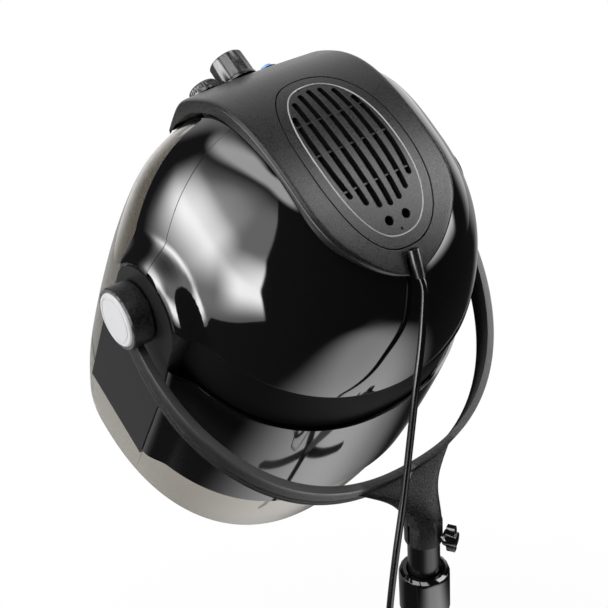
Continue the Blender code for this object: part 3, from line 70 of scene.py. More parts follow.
class Wire:
    """One socket of a shader tree: operators on it add Math nodes, and node() adds any other node."""

    def __init__(self, tree, socket=None):
        self.tree = tree
        self.socket = socket

    def node(self, kind, settings=None, inputs=None, output=0):
        made = self.tree.nodes.new("ShaderNode" + kind)
        for key, value in (settings or {}).items():
            setattr(made, key, value)
        for key, value in (inputs or {}).items():
            if isinstance(value, Wire):
                self.tree.links.new(value.socket, made.inputs[key])
            else:
                made.inputs[key].default_value = value
        return Wire(self.tree, made.outputs[output] if made.outputs else None)

    def math(self, operation, first, second):
        return self.node("Math", {"operation": operation}, {0: first, 1: second})

    def __add__(self, other):
        return self.math("ADD", self, other)

    def __mul__(self, other):
        return self.math("MULTIPLY", self, other)

    def __sub__(self, other):
        return self.math("SUBTRACT", self, other)

    def __rsub__(self, other):
        return self.math("SUBTRACT", other, self)

    __radd__, __rmul__ = __add__, __mul__

    def at_most(self, other):
        return self.math("MINIMUM", self, other)

    def wave(self, operation):
        return self.node("Math", {"operation": operation}, {0: self})

    def axes(self):
        """The three components of a vector."""
        return [self.node("SeparateXYZ", inputs={0: self}, output=k) for k in range(3)]

    def rise(self, low, high):
        """0 below one limit and 1 above another, with a soft step between them."""
        return self.node("MapRange", {"interpolation_type": "SMOOTHSTEP"}, {"Value": self, 1: low, 2: high})

    def window(self, low, high, soft_low, soft_high):
        """1 between two limits in degrees and 0 outside, with a soft rise and fall."""
        rise = self.rise(math.radians(low - soft_low), math.radians(low + soft_low))
        fall = self.rise(math.radians(high - soft_high), math.radians(high + soft_high))
        return rise * (1.0 - fall)

    def seen(self):
        """1 on the way to the camera, also through clear pieces, and 0 for all other light."""
        direct = self.node("LightPath", output="Is Camera Ray")
        return (direct + self.node("LightPath", output="Is Transmission Ray")).at_most(1.0)


world = bpy.data.worlds.new("studio")
world.use_nodes = True
world.node_tree.nodes.clear()
scene.world = world
sky = Wire(world.node_tree)
mirrored = sky.node("LightPath", output="Is Glossy Ray")
across, along, upward = sky.node("TexCoord", output="Generated").axes()
azimuth = across.math("ARCTAN2", across, along * -1.0)
elevation = upward.wave("ARCSINE")
# What polished faces mirror: a large screen on the left with two lamps behind it, one overhead, a strip on
# the right and the white paper behind
screen = azimuth.window(48.0, 112.0, 10.0, 1.2) * elevation.window(-24.0, 40.0, 9.0, 12.0)
lamp_high = azimuth.window(56.0, 84.0, 12.0, 12.0) * elevation.window(0.0, 26.0, 12.0, 14.0)
lamp_low = azimuth.window(88.0, 112.0, 9.0, 1.0) * elevation.window(-14.0, 8.0, 8.0, 10.0)
overhead = azimuth.window(20.0, 165.0, 25.0, 10.0) * elevation.window(52.0, 80.0, 5.0, 5.0)
strip = azimuth.window(-138.0, -108.0, 3.0, 3.0) * elevation.window(-5.0, 66.0, 8.0, 8.0)
paper = azimuth.window(-75.0, 5.0, 12.0, 12.0) * elevation.window(-30.0, 60.0, 8.0, 12.0)
glow = screen * 1.8 + lamp_high * 11.0 + lamp_low * 11.0 + overhead * 4.5 + strip * 8.0 + paper * 1.0
WHITE = (1.0, 1.0, 1.0, 1.0)
strengths = (0.22, glow + 0.02, 1.0)
fill, room, paper_white = (sky.node("Background", inputs={"Color": WHITE, "Strength": k}) for k in strengths)
lit = sky.node("MixShader", inputs={0: mirrored, 1: fill, 2: room})
backdrop = sky.node("MixShader", inputs={0: sky.seen(), 1: lit, 2: paper_white})
sky.node("OutputWorld", inputs={"Surface": backdrop})


HOOD_MIDDLE = Vector((0.0, -0.06, 1.26))


def softbox(name, azimuth, elevation, reach, size, power):
    """A soft lamp that faces the hood's middle, with azimuth 0 in front of it and 90 on its left."""
    a, e = math.radians(azimuth), math.radians(elevation)
    way = Vector((math.sin(a) * math.cos(e), -math.cos(a) * math.cos(e), math.sin(e)))
    lamp = bpy.data.lights.new(name, "AREA")
    lamp.shape = "RECTANGLE"
    lamp.size, lamp.size_y = size
    lamp.energy = power
    holder = bpy.data.objects.new(name, lamp)
    holder.location = HOOD_MIDDLE + reach * way
    holder.visible_glossy = False
    holder.rotation_euler = (-way).to_track_quat("-Z", "Y").to_euler()
    scene.collection.objects.link(holder)


softbox("softbox_side", 68.0, 12.0, 2.2, (0.75, 0.95), 24.0)
softbox("softbox_low", 101.0, -3.0, 2.2, (0.70, 0.75), 20.0)
softbox("softbox_top", 75.0, 72.0, 2.2, (1.5, 1.0), 34.0)
softbox("softbox_right", -105.0, 20.0, 2.4, (0.5, 1.6), 16.0)

FLOOR_HALF = 3.0
FLOOR_GAP = 0.0005
floor_mesh = bmesh.new()
bmesh.ops.create_grid(floor_mesh, x_segments=1, y_segments=1, size=FLOOR_HALF)
floor_data = bpy.data.meshes.new("floor")
floor_mesh.to_mesh(floor_data)
floor_mesh.free()
floor = bpy.data.objects.new("floor", floor_data)
floor.location.z = -FLOOR_GAP
scene.collection.objects.link(floor)
floor_paint = bpy.data.materials.new("floor_white")
floor_paint.use_nodes = True
floor_paint.node_tree.nodes.clear()
ground = Wire(floor_paint.node_tree)
matt = ground.node("BsdfDiffuse", inputs={"Color": (0.82, 0.82, 0.82, 1.0)})
shown = ground.seen()
mirror = ground.node("LightPath", output="Is Glossy Ray")
ground_spot = ground.node("TexCoord", output="Object")
away = ground.node("VectorMath", {"operation": "LENGTH"}, {0: ground_spot}, output="Value")
whiter = away.rise(0.6, 1.2)
# What polished faces mirror of the floor: its brightest part lies behind the stand, and the paper in front
ground_x, ground_y, _ = ground_spot.axes()
beside, behind = ground_x + 0.1, ground_y - 0.9
oval = (beside * beside + behind * behind * 0.3).wave("SQRT")
dim = oval.rise(0.25, 1.0)
front = (ground_y * -1.0).rise(0.5, 1.2)
level = shown + (1.0 - shown) * mirror * (2.4 * (1.0 - dim) + front * 0.4 + 0.02)
bright = ground.node("Emission", inputs={"Color": WHITE, "Strength": level})
blank = (shown * (0.94 + whiter * 0.06) + mirror).at_most(1.0)
floor_face = ground.node("MixShader", inputs={0: blank, 1: matt, 2: bright})
ground.node("OutputMaterial", inputs={"Surface": floor_face})
floor_data.materials.append(floor_paint)


# Five-leg base: a cast alloy star under a black powder coat, with the column pressed into its hub.
# The coat has a fine orange peel.
class Finish:
    """A material around one Principled shader, with its constant sockets set by name."""

    def __init__(self, name, colour, roughness, specular=0.5, constants=()):
        self.material = bpy.data.materials.new(name)
        self.material.use_nodes = True
        self.tree = self.material.node_tree
        self.shader = self.tree.nodes["Principled BSDF"]
        self.start = Wire(self.tree)
        self.place = self.start.node("TexCoord", output="Object")
        self.set("Base Color", (*colour, 1.0))
        self.set("Roughness", roughness)
        self.set("Specular IOR Level", specular)
        for socket, value in dict(constants).items():
            self.set(socket, value)

    def set(self, socket, value):
        if isinstance(value, Wire):
            self.tree.links.new(value.socket, self.shader.inputs[socket])
        else:
            self.shader.inputs[socket].default_value = value

    def noise(self, scale, detail=2.0, rough=0.5):
        """Even noise from 0 to 1 over the piece, scale in lumps per metre."""
        return self.start.node(
            "TexNoise", inputs={"Vector": self.place, "Scale": scale, "Detail": detail, "Roughness": rough}
        )

    def speckle(self, scale, detail, rough):
        """Noise with its middle range spread out, so that its lumps stand apart."""
        even = self.noise(scale, detail, rough)
        return self.start.node("MapRange", inputs={"Value": even, 1: 0.38, 2: 0.62})

    def between(self, mask, low, high):
        """A colour that goes from low to high with the mask."""
        return self.start.node(
            "Mix",
            {"data_type": "RGBA"},
            {"Factor": mask, 6: low if isinstance(low, Wire) else (*low, 1.0), 7: (*high, 1.0)},
            output=2,
        )

    def tint(self, mask, low, high):
        """Lets the colour go from low to high with the mask."""
        self.set("Base Color", self.between(mask, low, high))

    def mottle(self, mask, low, span):
        """Lets the roughness go up by a span from low with the mask."""
        self.set("Roughness", low + mask * span)

    def relief(self, height, depth, strength, edge):
        """Surface relief of a given depth in metres on edges rounded by a given radius."""
        rounded = self.start.node("Bevel", {"samples": 4}, {"Radius": edge})
        bump = self.start.node(
            "Bump", inputs={"Height": height, "Distance": depth, "Strength": strength, "Normal": rounded}
        )
        self.set("Normal", bump)


WELD_REACH = 0.00002


def dress(node, finish, angle=32.0):
    """Gives a CAD node its finish, with smooth shading up to an angle between faces."""
    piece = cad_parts[node]
    mesh = piece.data
    if mesh.attributes.get("custom_normal"):
        mesh.attributes.remove(mesh.attributes["custom_normal"])
    mesh.polygons.foreach_set("use_smooth", [True] * len(mesh.polygons))
    mesh.materials.clear()
    mesh.materials.append(finish.material)
    weld = piece.modifiers.new("weld", "WELD")
    weld.merge_threshold = WELD_REACH
    split = piece.modifiers.new("crease", "EDGE_SPLIT")
    split.split_angle = math.radians(angle)
    split.use_edge_sharp = False
    piece.modifiers.new("even", "WEIGHTED_NORMAL")
    return piece


powder = Finish("black_powder_coat", (0.016, 0.016, 0.017), 0.34)
powder_mottle = powder.noise(900.0, 3.0)
powder.mottle(powder_mottle, 0.28, 0.14)
powder.tint(powder.noise(30.0), (0.013, 0.013, 0.014), (0.020, 0.020, 0.021))
powder.relief(powder_mottle, 0.0002, 0.12, 0.0015)
dress("star_base", powder)
dress("column_tube", powder)

# Castors: nylon forks that turn on pins in the legs' ends, with grey rubber wheels that have gone a little
# dusty on the tread.
nylon = Finish("black_moulded_nylon", (0.022, 0.022, 0.023), 0.5)
nylon_grain = nylon.noise(1400.0, 3.0)
nylon.mottle(nylon_grain, 0.42, 0.2)
nylon.tint(nylon.noise(45.0), (0.017, 0.017, 0.018), (0.027, 0.027, 0.028))
nylon.relief(nylon_grain, 0.0002, 0.25, 0.0009)
tyre = Finish("grey_tyre_rubber", (0.09, 0.09, 0.09), 0.75)
tyre_dust = tyre.noise(160.0, 5.0)
tyre.tint(tyre_dust, (0.07, 0.07, 0.07), (0.13, 0.125, 0.12))
tyre.mottle(tyre_dust, 0.65, 0.25)
tyre.relief(tyre_dust, 0.0002, 0.3, 0.0008)
for k in range(1, 6):
    dress("castor_fork_%d" % k, nylon)
    dress("castor_wheel_%d" % k, tyre)

# Column: a black steel post that slides in the tube through a bush, and a glossy collar that guides it at
# the tube's top.
blacked = Finish("black_enamelled_steel", (0.004, 0.004, 0.0045), 0.2, specular=0.35)
blacked.mottle(blacked.noise(500.0, 3.0), 0.16, 0.10)
gloss = Finish("gloss_black_abs", (0.004, 0.004, 0.0045), 0.05, specular=0.8)
gloss_peel = gloss.noise(220.0, 1.0)
gloss.mottle(gloss.noise(60.0, 4.0), 0.03, 0.03)
gloss.relief(gloss_peel, 0.0001, 0.02, 0.0006)
dress("post", blacked)
dress("post_bush", nylon)
dress("column_collar", gloss)

# Fork: one glass-filled nylon casting with a spark-eroded face, channelled along its outside, that
# carries the hood between two round bosses. Its socket clamps on the post with a winged screw.
cast = Finish("spark_eroded_black", (0.012, 0.012, 0.0125), 0.45, 0.14, {"Coat Roughness": 0.2})
cast_grain = cast.speckle(700.0, 3.0, 0.6)
cast.mottle(cast_grain, 0.30, 0.26)
# Painted highlight: the fork's sharp edges get a lighter colour and a glossy coat, where light catches them
cast_edge_highlight = cast.start.node("NewGeometry", output="Pointiness").rise(0.575, 0.62)
cast_face = cast.between(cast_grain, (0.001, 0.001, 0.001), (0.024, 0.024, 0.0245))
cast.tint(cast_edge_highlight, cast_face, (0.06, 0.06, 0.061))
cast.set("Coat Weight", cast_edge_highlight * 0.8)
cast.relief(cast_grain, 0.0004, 0.28, 0.0007)


def settle(piece):
    """Makes the result of a piece's modifiers its own mesh."""
    bpy.context.view_layer.update()
    done = bpy.data.meshes.new_from_object(piece.evaluated_get(bpy.context.evaluated_depsgraph_get()))
    piece.modifiers.clear()
    old = piece.data
    piece.data = done
    bpy.data.meshes.remove(old)
    done.name = piece.name


def show(name, shape, finish):
    """An object of a bmesh that is already in place, with its finish."""
    mesh = bpy.data.meshes.new(name)
    shape.to_mesh(mesh)
    shape.free()
    mesh.materials.append(finish.material if finish else None)
    piece = bpy.data.objects.new(name, mesh)
    scene.collection.objects.link(piece)
    return piece


def carve(piece, tool, operation="DIFFERENCE", folded=False):
    """Cuts a piece with a tool, which is used up. A folded piece may touch itself."""
    cutter = show("cutter", tool, None)
    cutting = piece.modifiers.new("cut", "BOOLEAN")
    cutting.object = cutter
    cutting.operation = operation
    cutting.solver = "EXACT"
    cutting.use_self = folded
    settle(piece)
    bpy.data.objects.remove(cutter, do_unlink=True)


SHARP = math.radians(40.0)


def crease(piece):
    """Smooth shading, with sharp edges where faces meet at more than an angle."""
    mesh = piece.data
    mesh.polygons.foreach_set("use_smooth", [True] * len(mesh.polygons))
    mesh.set_sharp_from_angle(angle=SHARP)


def fit(piece, body, slot, *nodes):
    """Hangs a piece on its body, in place of any CAD nodes that are named."""
    crease(piece)
    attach(piece, body)
    if nodes:
        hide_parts(*nodes)


MERGE = 1e-6


def rotated(degrees, axis):
    """A rotation about one axis."""
    return Matrix.Rotation(math.radians(degrees), 4, axis)


def draped(columns, rows, place, around=False):
    """A grid bent to a formula of its two shares. One that goes around is joined at its seam and capped."""
    shape = bmesh.new()
    bmesh.ops.create_grid(shape, x_segments=columns, y_segments=rows, size=0.5)
    for vert in shape.verts:
        vert.co = place(vert.co.x + 0.5, vert.co.y + 0.5)
    if around:
        bmesh.ops.remove_doubles(shape, verts=shape.verts[:], dist=MERGE)
        bmesh.ops.holes_fill(shape, edges=shape.edges[:], sides=0)
    bmesh.ops.recalc_face_normals(shape, faces=shape.faces[:])
    return shape


def turned(profile, place, steps=64):
    """A solid of revolution about a place's Z, from (radius, height) points with both ends on the axis."""
    shape = bmesh.new()
    verts = [shape.verts.new((r, 0.0, h)) for r, h in profile]
    edges = [shape.edges.new(pair) for pair in zip(verts, verts[1:])]
    bmesh.ops.spin(
        shape, geom=verts + edges, axis=(0.0, 0.0, 1.0), angle=math.tau, steps=steps, use_merge=True
    )
    bmesh.ops.remove_doubles(shape, verts=shape.verts[:], dist=MERGE)
    bmesh.ops.recalc_face_normals(shape, faces=shape.faces[:])
    bmesh.ops.transform(shape, matrix=place, verts=shape.verts[:])
    return shape


def rod(radius, low, high):
    """Profile of a plain round bar, for turned()."""
    return [(0.0, low), (radius, low), (radius, high), (0.0, high)]


def block(size, place):
    """A box of a given size about a place."""
    shape = bmesh.new()
    bmesh.ops.create_cube(shape, size=1.0, matrix=place @ Matrix.Diagonal((*size, 1.0)))
    return shape


def eased(rows):
    """A table with its corners cut off three times over, so that it runs smoothly."""
    table = np.array(rows)
    for _ in range(3):
        low, high = 0.75 * table[:-1] + 0.25 * table[1:], 0.25 * table[:-1] + 0.75 * table[1:]
        between = np.stack([low, high], 1).reshape(-1, table.shape[1])[1:-1]
        table = np.vstack([table[:1], between, table[-1:]])
    return table


ROUNDNESS = 2.35


def swollen(c):
    """A sine or cosine, taken out from a circle's towards a rounded square's."""
    return math.copysign(abs(c) ** (2.0 / ROUNDNESS), c)


COLUMN_Y = 0.0714
HOOD_Z = 1.220
PIVOT = Vector((0.0, -0.111042, 1.209320))
FORK_FOOT = Vector((0.0, 0.0556, 1.0376))
FORK_HALF = 0.18995
FORK_BAND = 0.007
FORK_DEEP = 0.030
FORK_LEAN = math.radians(33.0)
PINCH = 0.0055
PINCH_REACH = 0.12
SLIM = 0.74
SLIM_REACH = 0.10
BAND_START = 0.0241
fork_fall = (FORK_FOOT - PIVOT).normalized()
fork_reach = (FORK_FOOT - PIVOT).length
fork_lean = Vector((0.0, math.sin(FORK_LEAN), math.cos(FORK_LEAN)))
# Outline of the band: outwards from its middle and up its height, with a bead between two grooves
fork_section = [(0.50, 0.0), (0.50, -0.62), (0.28, -0.68), (0.48, -0.76), (0.48, -0.84), (0.28, -0.90)]
fork_section += [(0.46, -1.0), (-0.50, -1.0), (-0.28, -0.86), (-0.28, -0.14), (-0.50, 0.0)]


def fork_line(t):
    """A point of the bow in its own plane: across from the middle and down from the pivots."""
    drop = swollen(math.sin(t)) * fork_reach
    pinch = PINCH * (1.0 - min(drop / PINCH_REACH, 1.0)) ** 2
    return swollen(math.cos(t)) * FORK_HALF - math.copysign(pinch, math.cos(t)), drop


def on_band(around, along):
    """A point of the band, which grows slimmer towards the pivots."""
    out, up = fork_section[round(around * len(fork_section)) % len(fork_section)]
    t = BAND_START + (math.pi - 2.0 * BAND_START) * along
    x, drop = fork_line(t)
    (x0, drop0), (x1, drop1) = fork_line(t - 0.002), fork_line(t + 0.002)
    side = (Vector((drop1 - drop0, 0.0, 0.0)) - (x1 - x0) * fork_fall).normalized()
    height = up * FORK_DEEP * min(1.0, SLIM + (1.0 - SLIM) * drop / SLIM_REACH)
    return PIVOT + Vector((x, 0.0, 0.0)) + drop * fork_fall + out * FORK_BAND * side + height * fork_lean


# Flare from the stem to the bow: height below the hood's middle, half width, half depth, step to the front
fork_flare = eased([
    (-0.250, 0.0180, 0.0180, 0.0),
    (-0.236, 0.0186, 0.0180, -0.0008),
    (-0.226, 0.0204, 0.0168, -0.0040),
    (-0.217, 0.0246, 0.0145, -0.0095),
    (-0.209, 0.0325, 0.0112, -0.0150),
    (-0.202, 0.0460, 0.0068, -0.0200),
    (-0.196, 0.0630, 0.0028, -0.0240),
])


def on_flare(around, along):
    """A point of the flare, which bends up along the bow towards its wide end."""
    row = along * (len(fork_flare) - 1)
    z, half, deep, step = (np.interp(row, range(len(fork_flare)), column) for column in fork_flare.T)
    a = math.tau * around
    x = half * math.cos(a)
    t = math.acos(min(1.0, abs(x) / FORK_HALF) ** (ROUNDNESS / 2.0))
    lag = along**2 * (fork_reach - fork_line(t)[1])
    return Vector((x, COLUMN_Y + step + deep * math.sin(a), HOOD_Z + z)) - lag * fork_fall


STEM_LOW = 0.9575
SPIGOT_BORE = 0.0133
SPIGOT_DEEP = 0.028
SLIT = (0.020, 0.003, 0.036)
SLIT_AT = (0.02, 0.0, 0.008)
CLAMP_Z = 0.965
CLAMP_BORE = 0.0033
fork = show("fork", draped(len(fork_section), 150, on_band, around=True), cast)
carve(fork, draped(64, 36, on_flare, around=True), "UNION")
stem_at = Matrix.Translation((0.0, COLUMN_Y, STEM_LOW))
stem = [(0.0, 0.0), (0.0178, 0.0), (0.0186, 0.0008), (0.0186, 0.0225), (0.0152, 0.0305), (0.0, 0.0335)]
carve(fork, turned(stem, stem_at), "UNION")
BOSS_IN = 0.1737
BOSS_OUT = 0.1952
BOSS_R = 0.030
CAP_SEAT = BOSS_OUT - 0.004
CAP_BORE = 0.0262
HEAD_SEAT = CAP_SEAT - 0.0071
HEAD_BORE = 0.0093
BOLT_BORE = 0.0053
OVERCUT = 0.010
pivot_ends = {}
for side, turn in (("l", 90.0), ("r", -90.0)):
    pivot_ends[side] = Matrix.Translation(PIVOT) @ rotated(turn, "Y")
    barrel = [(0.0, BOSS_IN), (BOSS_R - 0.001, BOSS_IN), (BOSS_R, BOSS_IN + 0.001)]
    barrel += [(BOSS_R, BOSS_OUT - 0.0012), (BOSS_R - 0.0012, BOSS_OUT), (0.0, BOSS_OUT)]
    carve(fork, turned(barrel, pivot_ends[side], 96), "UNION")
    hollow = [(0.0, BOSS_IN - OVERCUT), (BOLT_BORE, BOSS_IN - OVERCUT), (BOLT_BORE, HEAD_SEAT)]
    hollow += [(HEAD_BORE, HEAD_SEAT), (HEAD_BORE, CAP_SEAT), (CAP_BORE, CAP_SEAT)]
    hollow += [(CAP_BORE, BOSS_OUT + OVERCUT), (0.0, BOSS_OUT + OVERCUT)]
    carve(fork, turned(hollow, pivot_ends[side], 96))
carve(fork, turned(rod(SPIGOT_BORE, -OVERCUT, SPIGOT_DEEP), stem_at))
carve(fork, block(SLIT, stem_at @ Matrix.Translation(SLIT_AT)))
clamp_turn = rotated(-60.0, "Z") @ rotated(-90.0, "Y")
clamp_at = Matrix.Translation((0.0, COLUMN_Y, CLAMP_Z)) @ clamp_turn
carve(fork, turned(rod(CLAMP_BORE, 0.008, 0.030), clamp_at, 32))
fit(fork, "yoke", "textured_black", "yoke")
dress("clamp_knob", gloss)
steel = Finish("zinc_plated_steel", (0.56, 0.56, 0.57), 0.32, constants={"Metallic": 1.0})
steel.mottle(steel.noise(700.0, 3.0), 0.26, 0.14)
for side in "lr":
    dress("pivot_washer_" + side, nylon)
    dress("pivot_bolt_" + side, steel)
cap_white = Finish("white_cap_abs", (0.50, 0.50, 0.51), 0.45, specular=0.3)
cap_tint = cap_white.noise(25.0)
cap_white.tint(cap_tint, (0.49, 0.49, 0.50), (0.52, 0.52, 0.53))
cap_white.mottle(cap_white.noise(60.0, 3.0), 0.40, 0.10)
cap_white.relief(cap_white.noise(60.0), 0.00002, 0.02, 0.0005)
CAP_GAP = 0.0003
# Cap: radius, and height above the boss's end, with a fine groove inside its edge
cap_top = [(CAP_BORE - CAP_GAP, -0.0002), (0.0255, 0.0006), (0.0246, 0.0016), (0.0222, 0.0018)]
cap_top += [(0.0218, 0.0012), (0.0206, 0.0012), (0.0202, 0.0019), (0.0, 0.0022)]
cap_face = [(0.0, CAP_SEAT + CAP_GAP), (CAP_BORE - CAP_GAP, CAP_SEAT + CAP_GAP)]
cap_face += [(radius, BOSS_OUT + height) for radius, height in cap_top]
for side in "lr":
    cap = show("pivot_cap_disc_" + side, turned(cap_face, pivot_ends[side], 96), cap_white)
    fit(cap, "yoke", "white_cap", "pivot_cap_" + side)

# Hood walls: injection-moulded shells that follow one rounded body. The rear wall is polished black, set
# off from the dome above by a recessed frame, and all of them stop at the side panels.
WALL = 0.0026
TUCK = 0.0046
HOOD_Y = -0.0916
HOOD_TILT = -35.0
HOOD_FRAME = Matrix.Translation((0.0, HOOD_Y, HOOD_Z)) @ rotated(HOOD_TILT, "X")
# Height on the hood axis, half width, reach to the back, reach to the front, roundness behind and in front
hood_sections = eased([
    (-0.284, 0.1640, 0.1880, 0.1140, 2.35, 2.30),
    (-0.240, 0.1698, 0.1910, 0.1280, 2.35, 2.35),
    (-0.185, 0.1705, 0.1900, 0.1370, 2.35, 2.45),
    (-0.120, 0.1695, 0.1840, 0.1430, 2.30, 2.60),
    (-0.060, 0.1665, 0.1770, 0.1460, 2.25, 2.80),
    (0.000, 0.1610, 0.1690, 0.1460, 2.15, 3.00),
    (0.040, 0.1540, 0.1600, 0.1410, 2.10, 3.20),
    (0.080, 0.1380, 0.1430, 0.1300, 2.10, 3.40),
    (0.105, 0.1210, 0.1235, 0.1140, 2.10, 3.30),
    (0.118, 0.1095, 0.1110, 0.1045, 2.15, 3.10),
    (0.130, 0.0985, 0.0935, 0.0890, 2.20, 2.80),
    (0.139, 0.0890, 0.0740, 0.0690, 2.30, 2.60),
    (0.1455, 0.0800, 0.0520, 0.0450, 2.30, 2.40),
    (0.1485, 0.0700, 0.0320, 0.0270, 2.20, 2.30),
    (0.1495, 0.0010, 0.0010, 0.0010, 2.00, 2.00),
])


def hood_level(x, forward, height):
    """Below 1 inside the hood's body and above 1 outside it."""
    z, sizes = hood_sections[:, 0], hood_sections[:, 1:]
    inside = np.clip(height, z[0], z[-1])
    i = np.clip(np.searchsorted(z, inside) - 1, 0, len(z) - 2)
    slope = np.empty_like(sizes)
    slope[1:-1] = (sizes[2:] - sizes[:-2]) / (z[2:] - z[:-2])[:, None]
    slope[0] = (sizes[1] - sizes[0]) / (z[1] - z[0])
    slope[-1] = (sizes[-1] - sizes[-2]) / (z[-1] - z[-2])
    step = (z[i + 1] - z[i])[:, None]
    u = ((inside - z[i]) / step[:, 0])[:, None]
    width, back, front, round_back, round_front = (
        (2 * u**3 - 3 * u**2 + 1) * sizes[i]
        + (u**3 - 2 * u**2 + u) * step * slope[i]
        + (3 * u**2 - 2 * u**3) * sizes[i + 1]
        + (u**3 - u**2) * step * slope[i + 1]
    ).T
    reach = np.where(forward < 0, back, front)
    power = np.where(forward < 0, round_back, round_front)
    level = (np.abs(x) / width) ** power + (np.abs(forward) / reach) ** power
    return np.where(height > z[-1], 2.0 + height - z[-1], level)


RAY_REACH = 0.6
HALVINGS = 34
PROBE = 0.0004


def on_hood(forward, height, turn, spread):
    """Points and outward normals where rays from a line across the hood meet its body."""
    ray = np.array([np.cos(spread), np.sin(spread) * np.cos(turn), np.sin(spread) * np.sin(turn)])
    start = np.array([np.zeros_like(forward), forward, height])
    near, far = np.zeros_like(forward), np.full_like(forward, RAY_REACH)
    for _ in range(HALVINGS):
        middle = (near + far) / 2
        inside = hood_level(*(start + ray * middle)) < 1.0
        near, far = np.where(inside, middle, near), np.where(inside, far, middle)
    point = start + ray * near
    steps = [PROBE * axis[:, None] for axis in np.eye(3)]
    normal = np.array([hood_level(*(point + step)) - hood_level(*(point - step)) for step in steps])
    return point, normal / np.linalg.norm(normal, axis=0)


# Side panel: its face from the hood's middle, and its outline as reach back from the middle and height
PANEL_FACE = 0.1715
PANEL_LOW = -0.204
PANEL_GAP = 0.0004
PANEL_CUT = (0.120, 0.205)
PANEL_MIDDLE = Vector((0.0, 0.008, -0.075))
LIP_WIDTH = 0.026
LIP_DROP = 0.0012
LOBE_R = 0.046
LOBE_AT = (-0.0033, -0.0153)
lobe = [math.radians(a) for a in range(-14, 184, 4)]
panel_outline = [(-0.0320, PANEL_LOW), (-0.0455, -0.093)]
panel_outline += [(LOBE_AT[0] - LOBE_R * math.cos(a), LOBE_AT[1] + LOBE_R * math.sin(a)) for a in lobe]
panel_outline += [(0.0545, -0.083), (0.0640, PANEL_LOW)]


def lip_rise(point):
    """How far a wall swells sideways next to a side panel, to end level with it."""
    place = np.array([-point[1], point[2]]).T
    rim = np.array(panel_outline)
    run = np.roll(rim, -1, 0) - rim
    gap = place[:, None, :] - rim[None]
    share = np.clip((gap * run).sum(2) / (run * run).sum(1), 0.0, 1.0)
    away = np.linalg.norm(gap - run * share[:, :, None], axis=2).min(1) / LIP_WIDTH
    inside = (run[:, 0] * gap[:, :, 1] - run[:, 1] * gap[:, :, 0] < 0.0).all(1)
    away = np.where(inside, 0.0, np.minimum(away, 1.0))
    fade = (1.0 - away) ** 2 * (1.0 + 2.0 * away)
    return np.sign(point[0]) * np.maximum(PANEL_FACE - LIP_DROP - np.abs(point[0]), 0.0) * fade


def pushed(shape, step):
    """A solid from the flat faces of a shape in the hood's frame, pushed along a step."""
    grown = bmesh.ops.extrude_face_region(shape, geom=shape.faces[:])
    moved = [g for g in grown["geom"] if isinstance(g, bmesh.types.BMVert)]
    bmesh.ops.translate(shape, vec=step, verts=moved)
    bmesh.ops.recalc_face_normals(shape, faces=shape.faces[:])
    bmesh.ops.transform(shape, matrix=HOOD_FRAME, verts=shape.verts[:])
    return shape


def side_panel(side):
    """Cutter for the side panel on the left (1) or right (-1), a fine gap larger all round."""
    low, high = (side * x for x in PANEL_CUT)
    shape = bmesh.new()
    points = [Vector((0.0, y, z)) for y, z in panel_outline]
    rim = []
    for k, point in enumerate(points):
        run = points[(k + 1) % len(points)] - points[k - 1]
        out = Vector((0.0, run.z, -run.y)).normalized()
        if out.dot(point - PANEL_MIDDLE) < 0:
            out = -out
        rim.append(shape.verts.new(point + out * PANEL_GAP + Vector((low, 0.0, 0.0))))
    shape.faces.new(rim)
    return pushed(shape, Vector((high - low, 0.0, 0.0)))


def walled(name, shape, outward, wall, finish):
    """A sheet made a wall of a given thickness, with its outer face where the sheet was."""
    shape.normal_update()
    shape.verts.ensure_lookup_table()
    if shape.verts[len(shape.verts) // 2].normal.dot(HOOD_FRAME.to_3x3() @ outward) < 0:
        bmesh.ops.reverse_faces(shape, faces=shape.faces[:])
    piece = show(name, shape, finish)
    thick = piece.modifiers.new("wall", "SOLIDIFY")
    thick.thickness = wall
    thick.offset = -1.0
    settle(piece)
    return piece


def hood_wall(
    name, stations, finish, rows, columns, spread=(0, 180), sink=0.0, wall=WALL, lip=False, folded=False
):
    """A moulded wall over the hood's body: a grid laid along stations of (forward, height, turn)."""
    shape = bmesh.new()
    bmesh.ops.create_grid(shape, x_segments=columns, y_segments=rows, size=0.5)
    grid = np.array([v.co[:2] for v in shape.verts]) + 0.5
    along = grid[:, 1] * (len(stations) - 1)
    forward, height, turn = (np.interp(along, range(len(stations)), column) for column in zip(*stations))
    angles = np.radians(spread[0] + (spread[1] - spread[0]) * grid[:, 0])
    point, normal = on_hood(forward, height, turn, angles)
    point = point - sink * normal
    if lip:
        point[0] += lip_rise(point)
    for vert, (x, s, z) in zip(shape.verts, point.T):
        vert.co = HOOD_FRAME @ Vector((x, -s, z))
    x, s, z = normal[:, len(shape.verts) // 2]
    piece = walled(name, shape, Vector((x, -s, z)), wall, finish)
    for side in (1.0, -1.0):
        carve(piece, side_panel(side), folded=folded)
    return piece


BACK = math.pi
LEAN = 0.107
REAR_LINE = -0.012
rear_edges = [(REAR_LINE, PANEL_LOW, BACK - LEAN), (REAR_LINE, -0.040, BACK)]
rear_wall = hood_wall("rear_wall", rear_edges, gloss, 24, 140, lip=True)
fit(rear_wall, "hood", "gloss_black", "hood_ring")
heatproof = Finish("heatproof_black_plastic", (0.012, 0.012, 0.012), 0.45)
heatproof.mottle(heatproof.noise(900.0, 3.0), 0.38, 0.16)
heatproof_tint = heatproof.noise(40.0)
heatproof.tint(heatproof_tint, (0.010, 0.010, 0.010), (0.016, 0.016, 0.015))
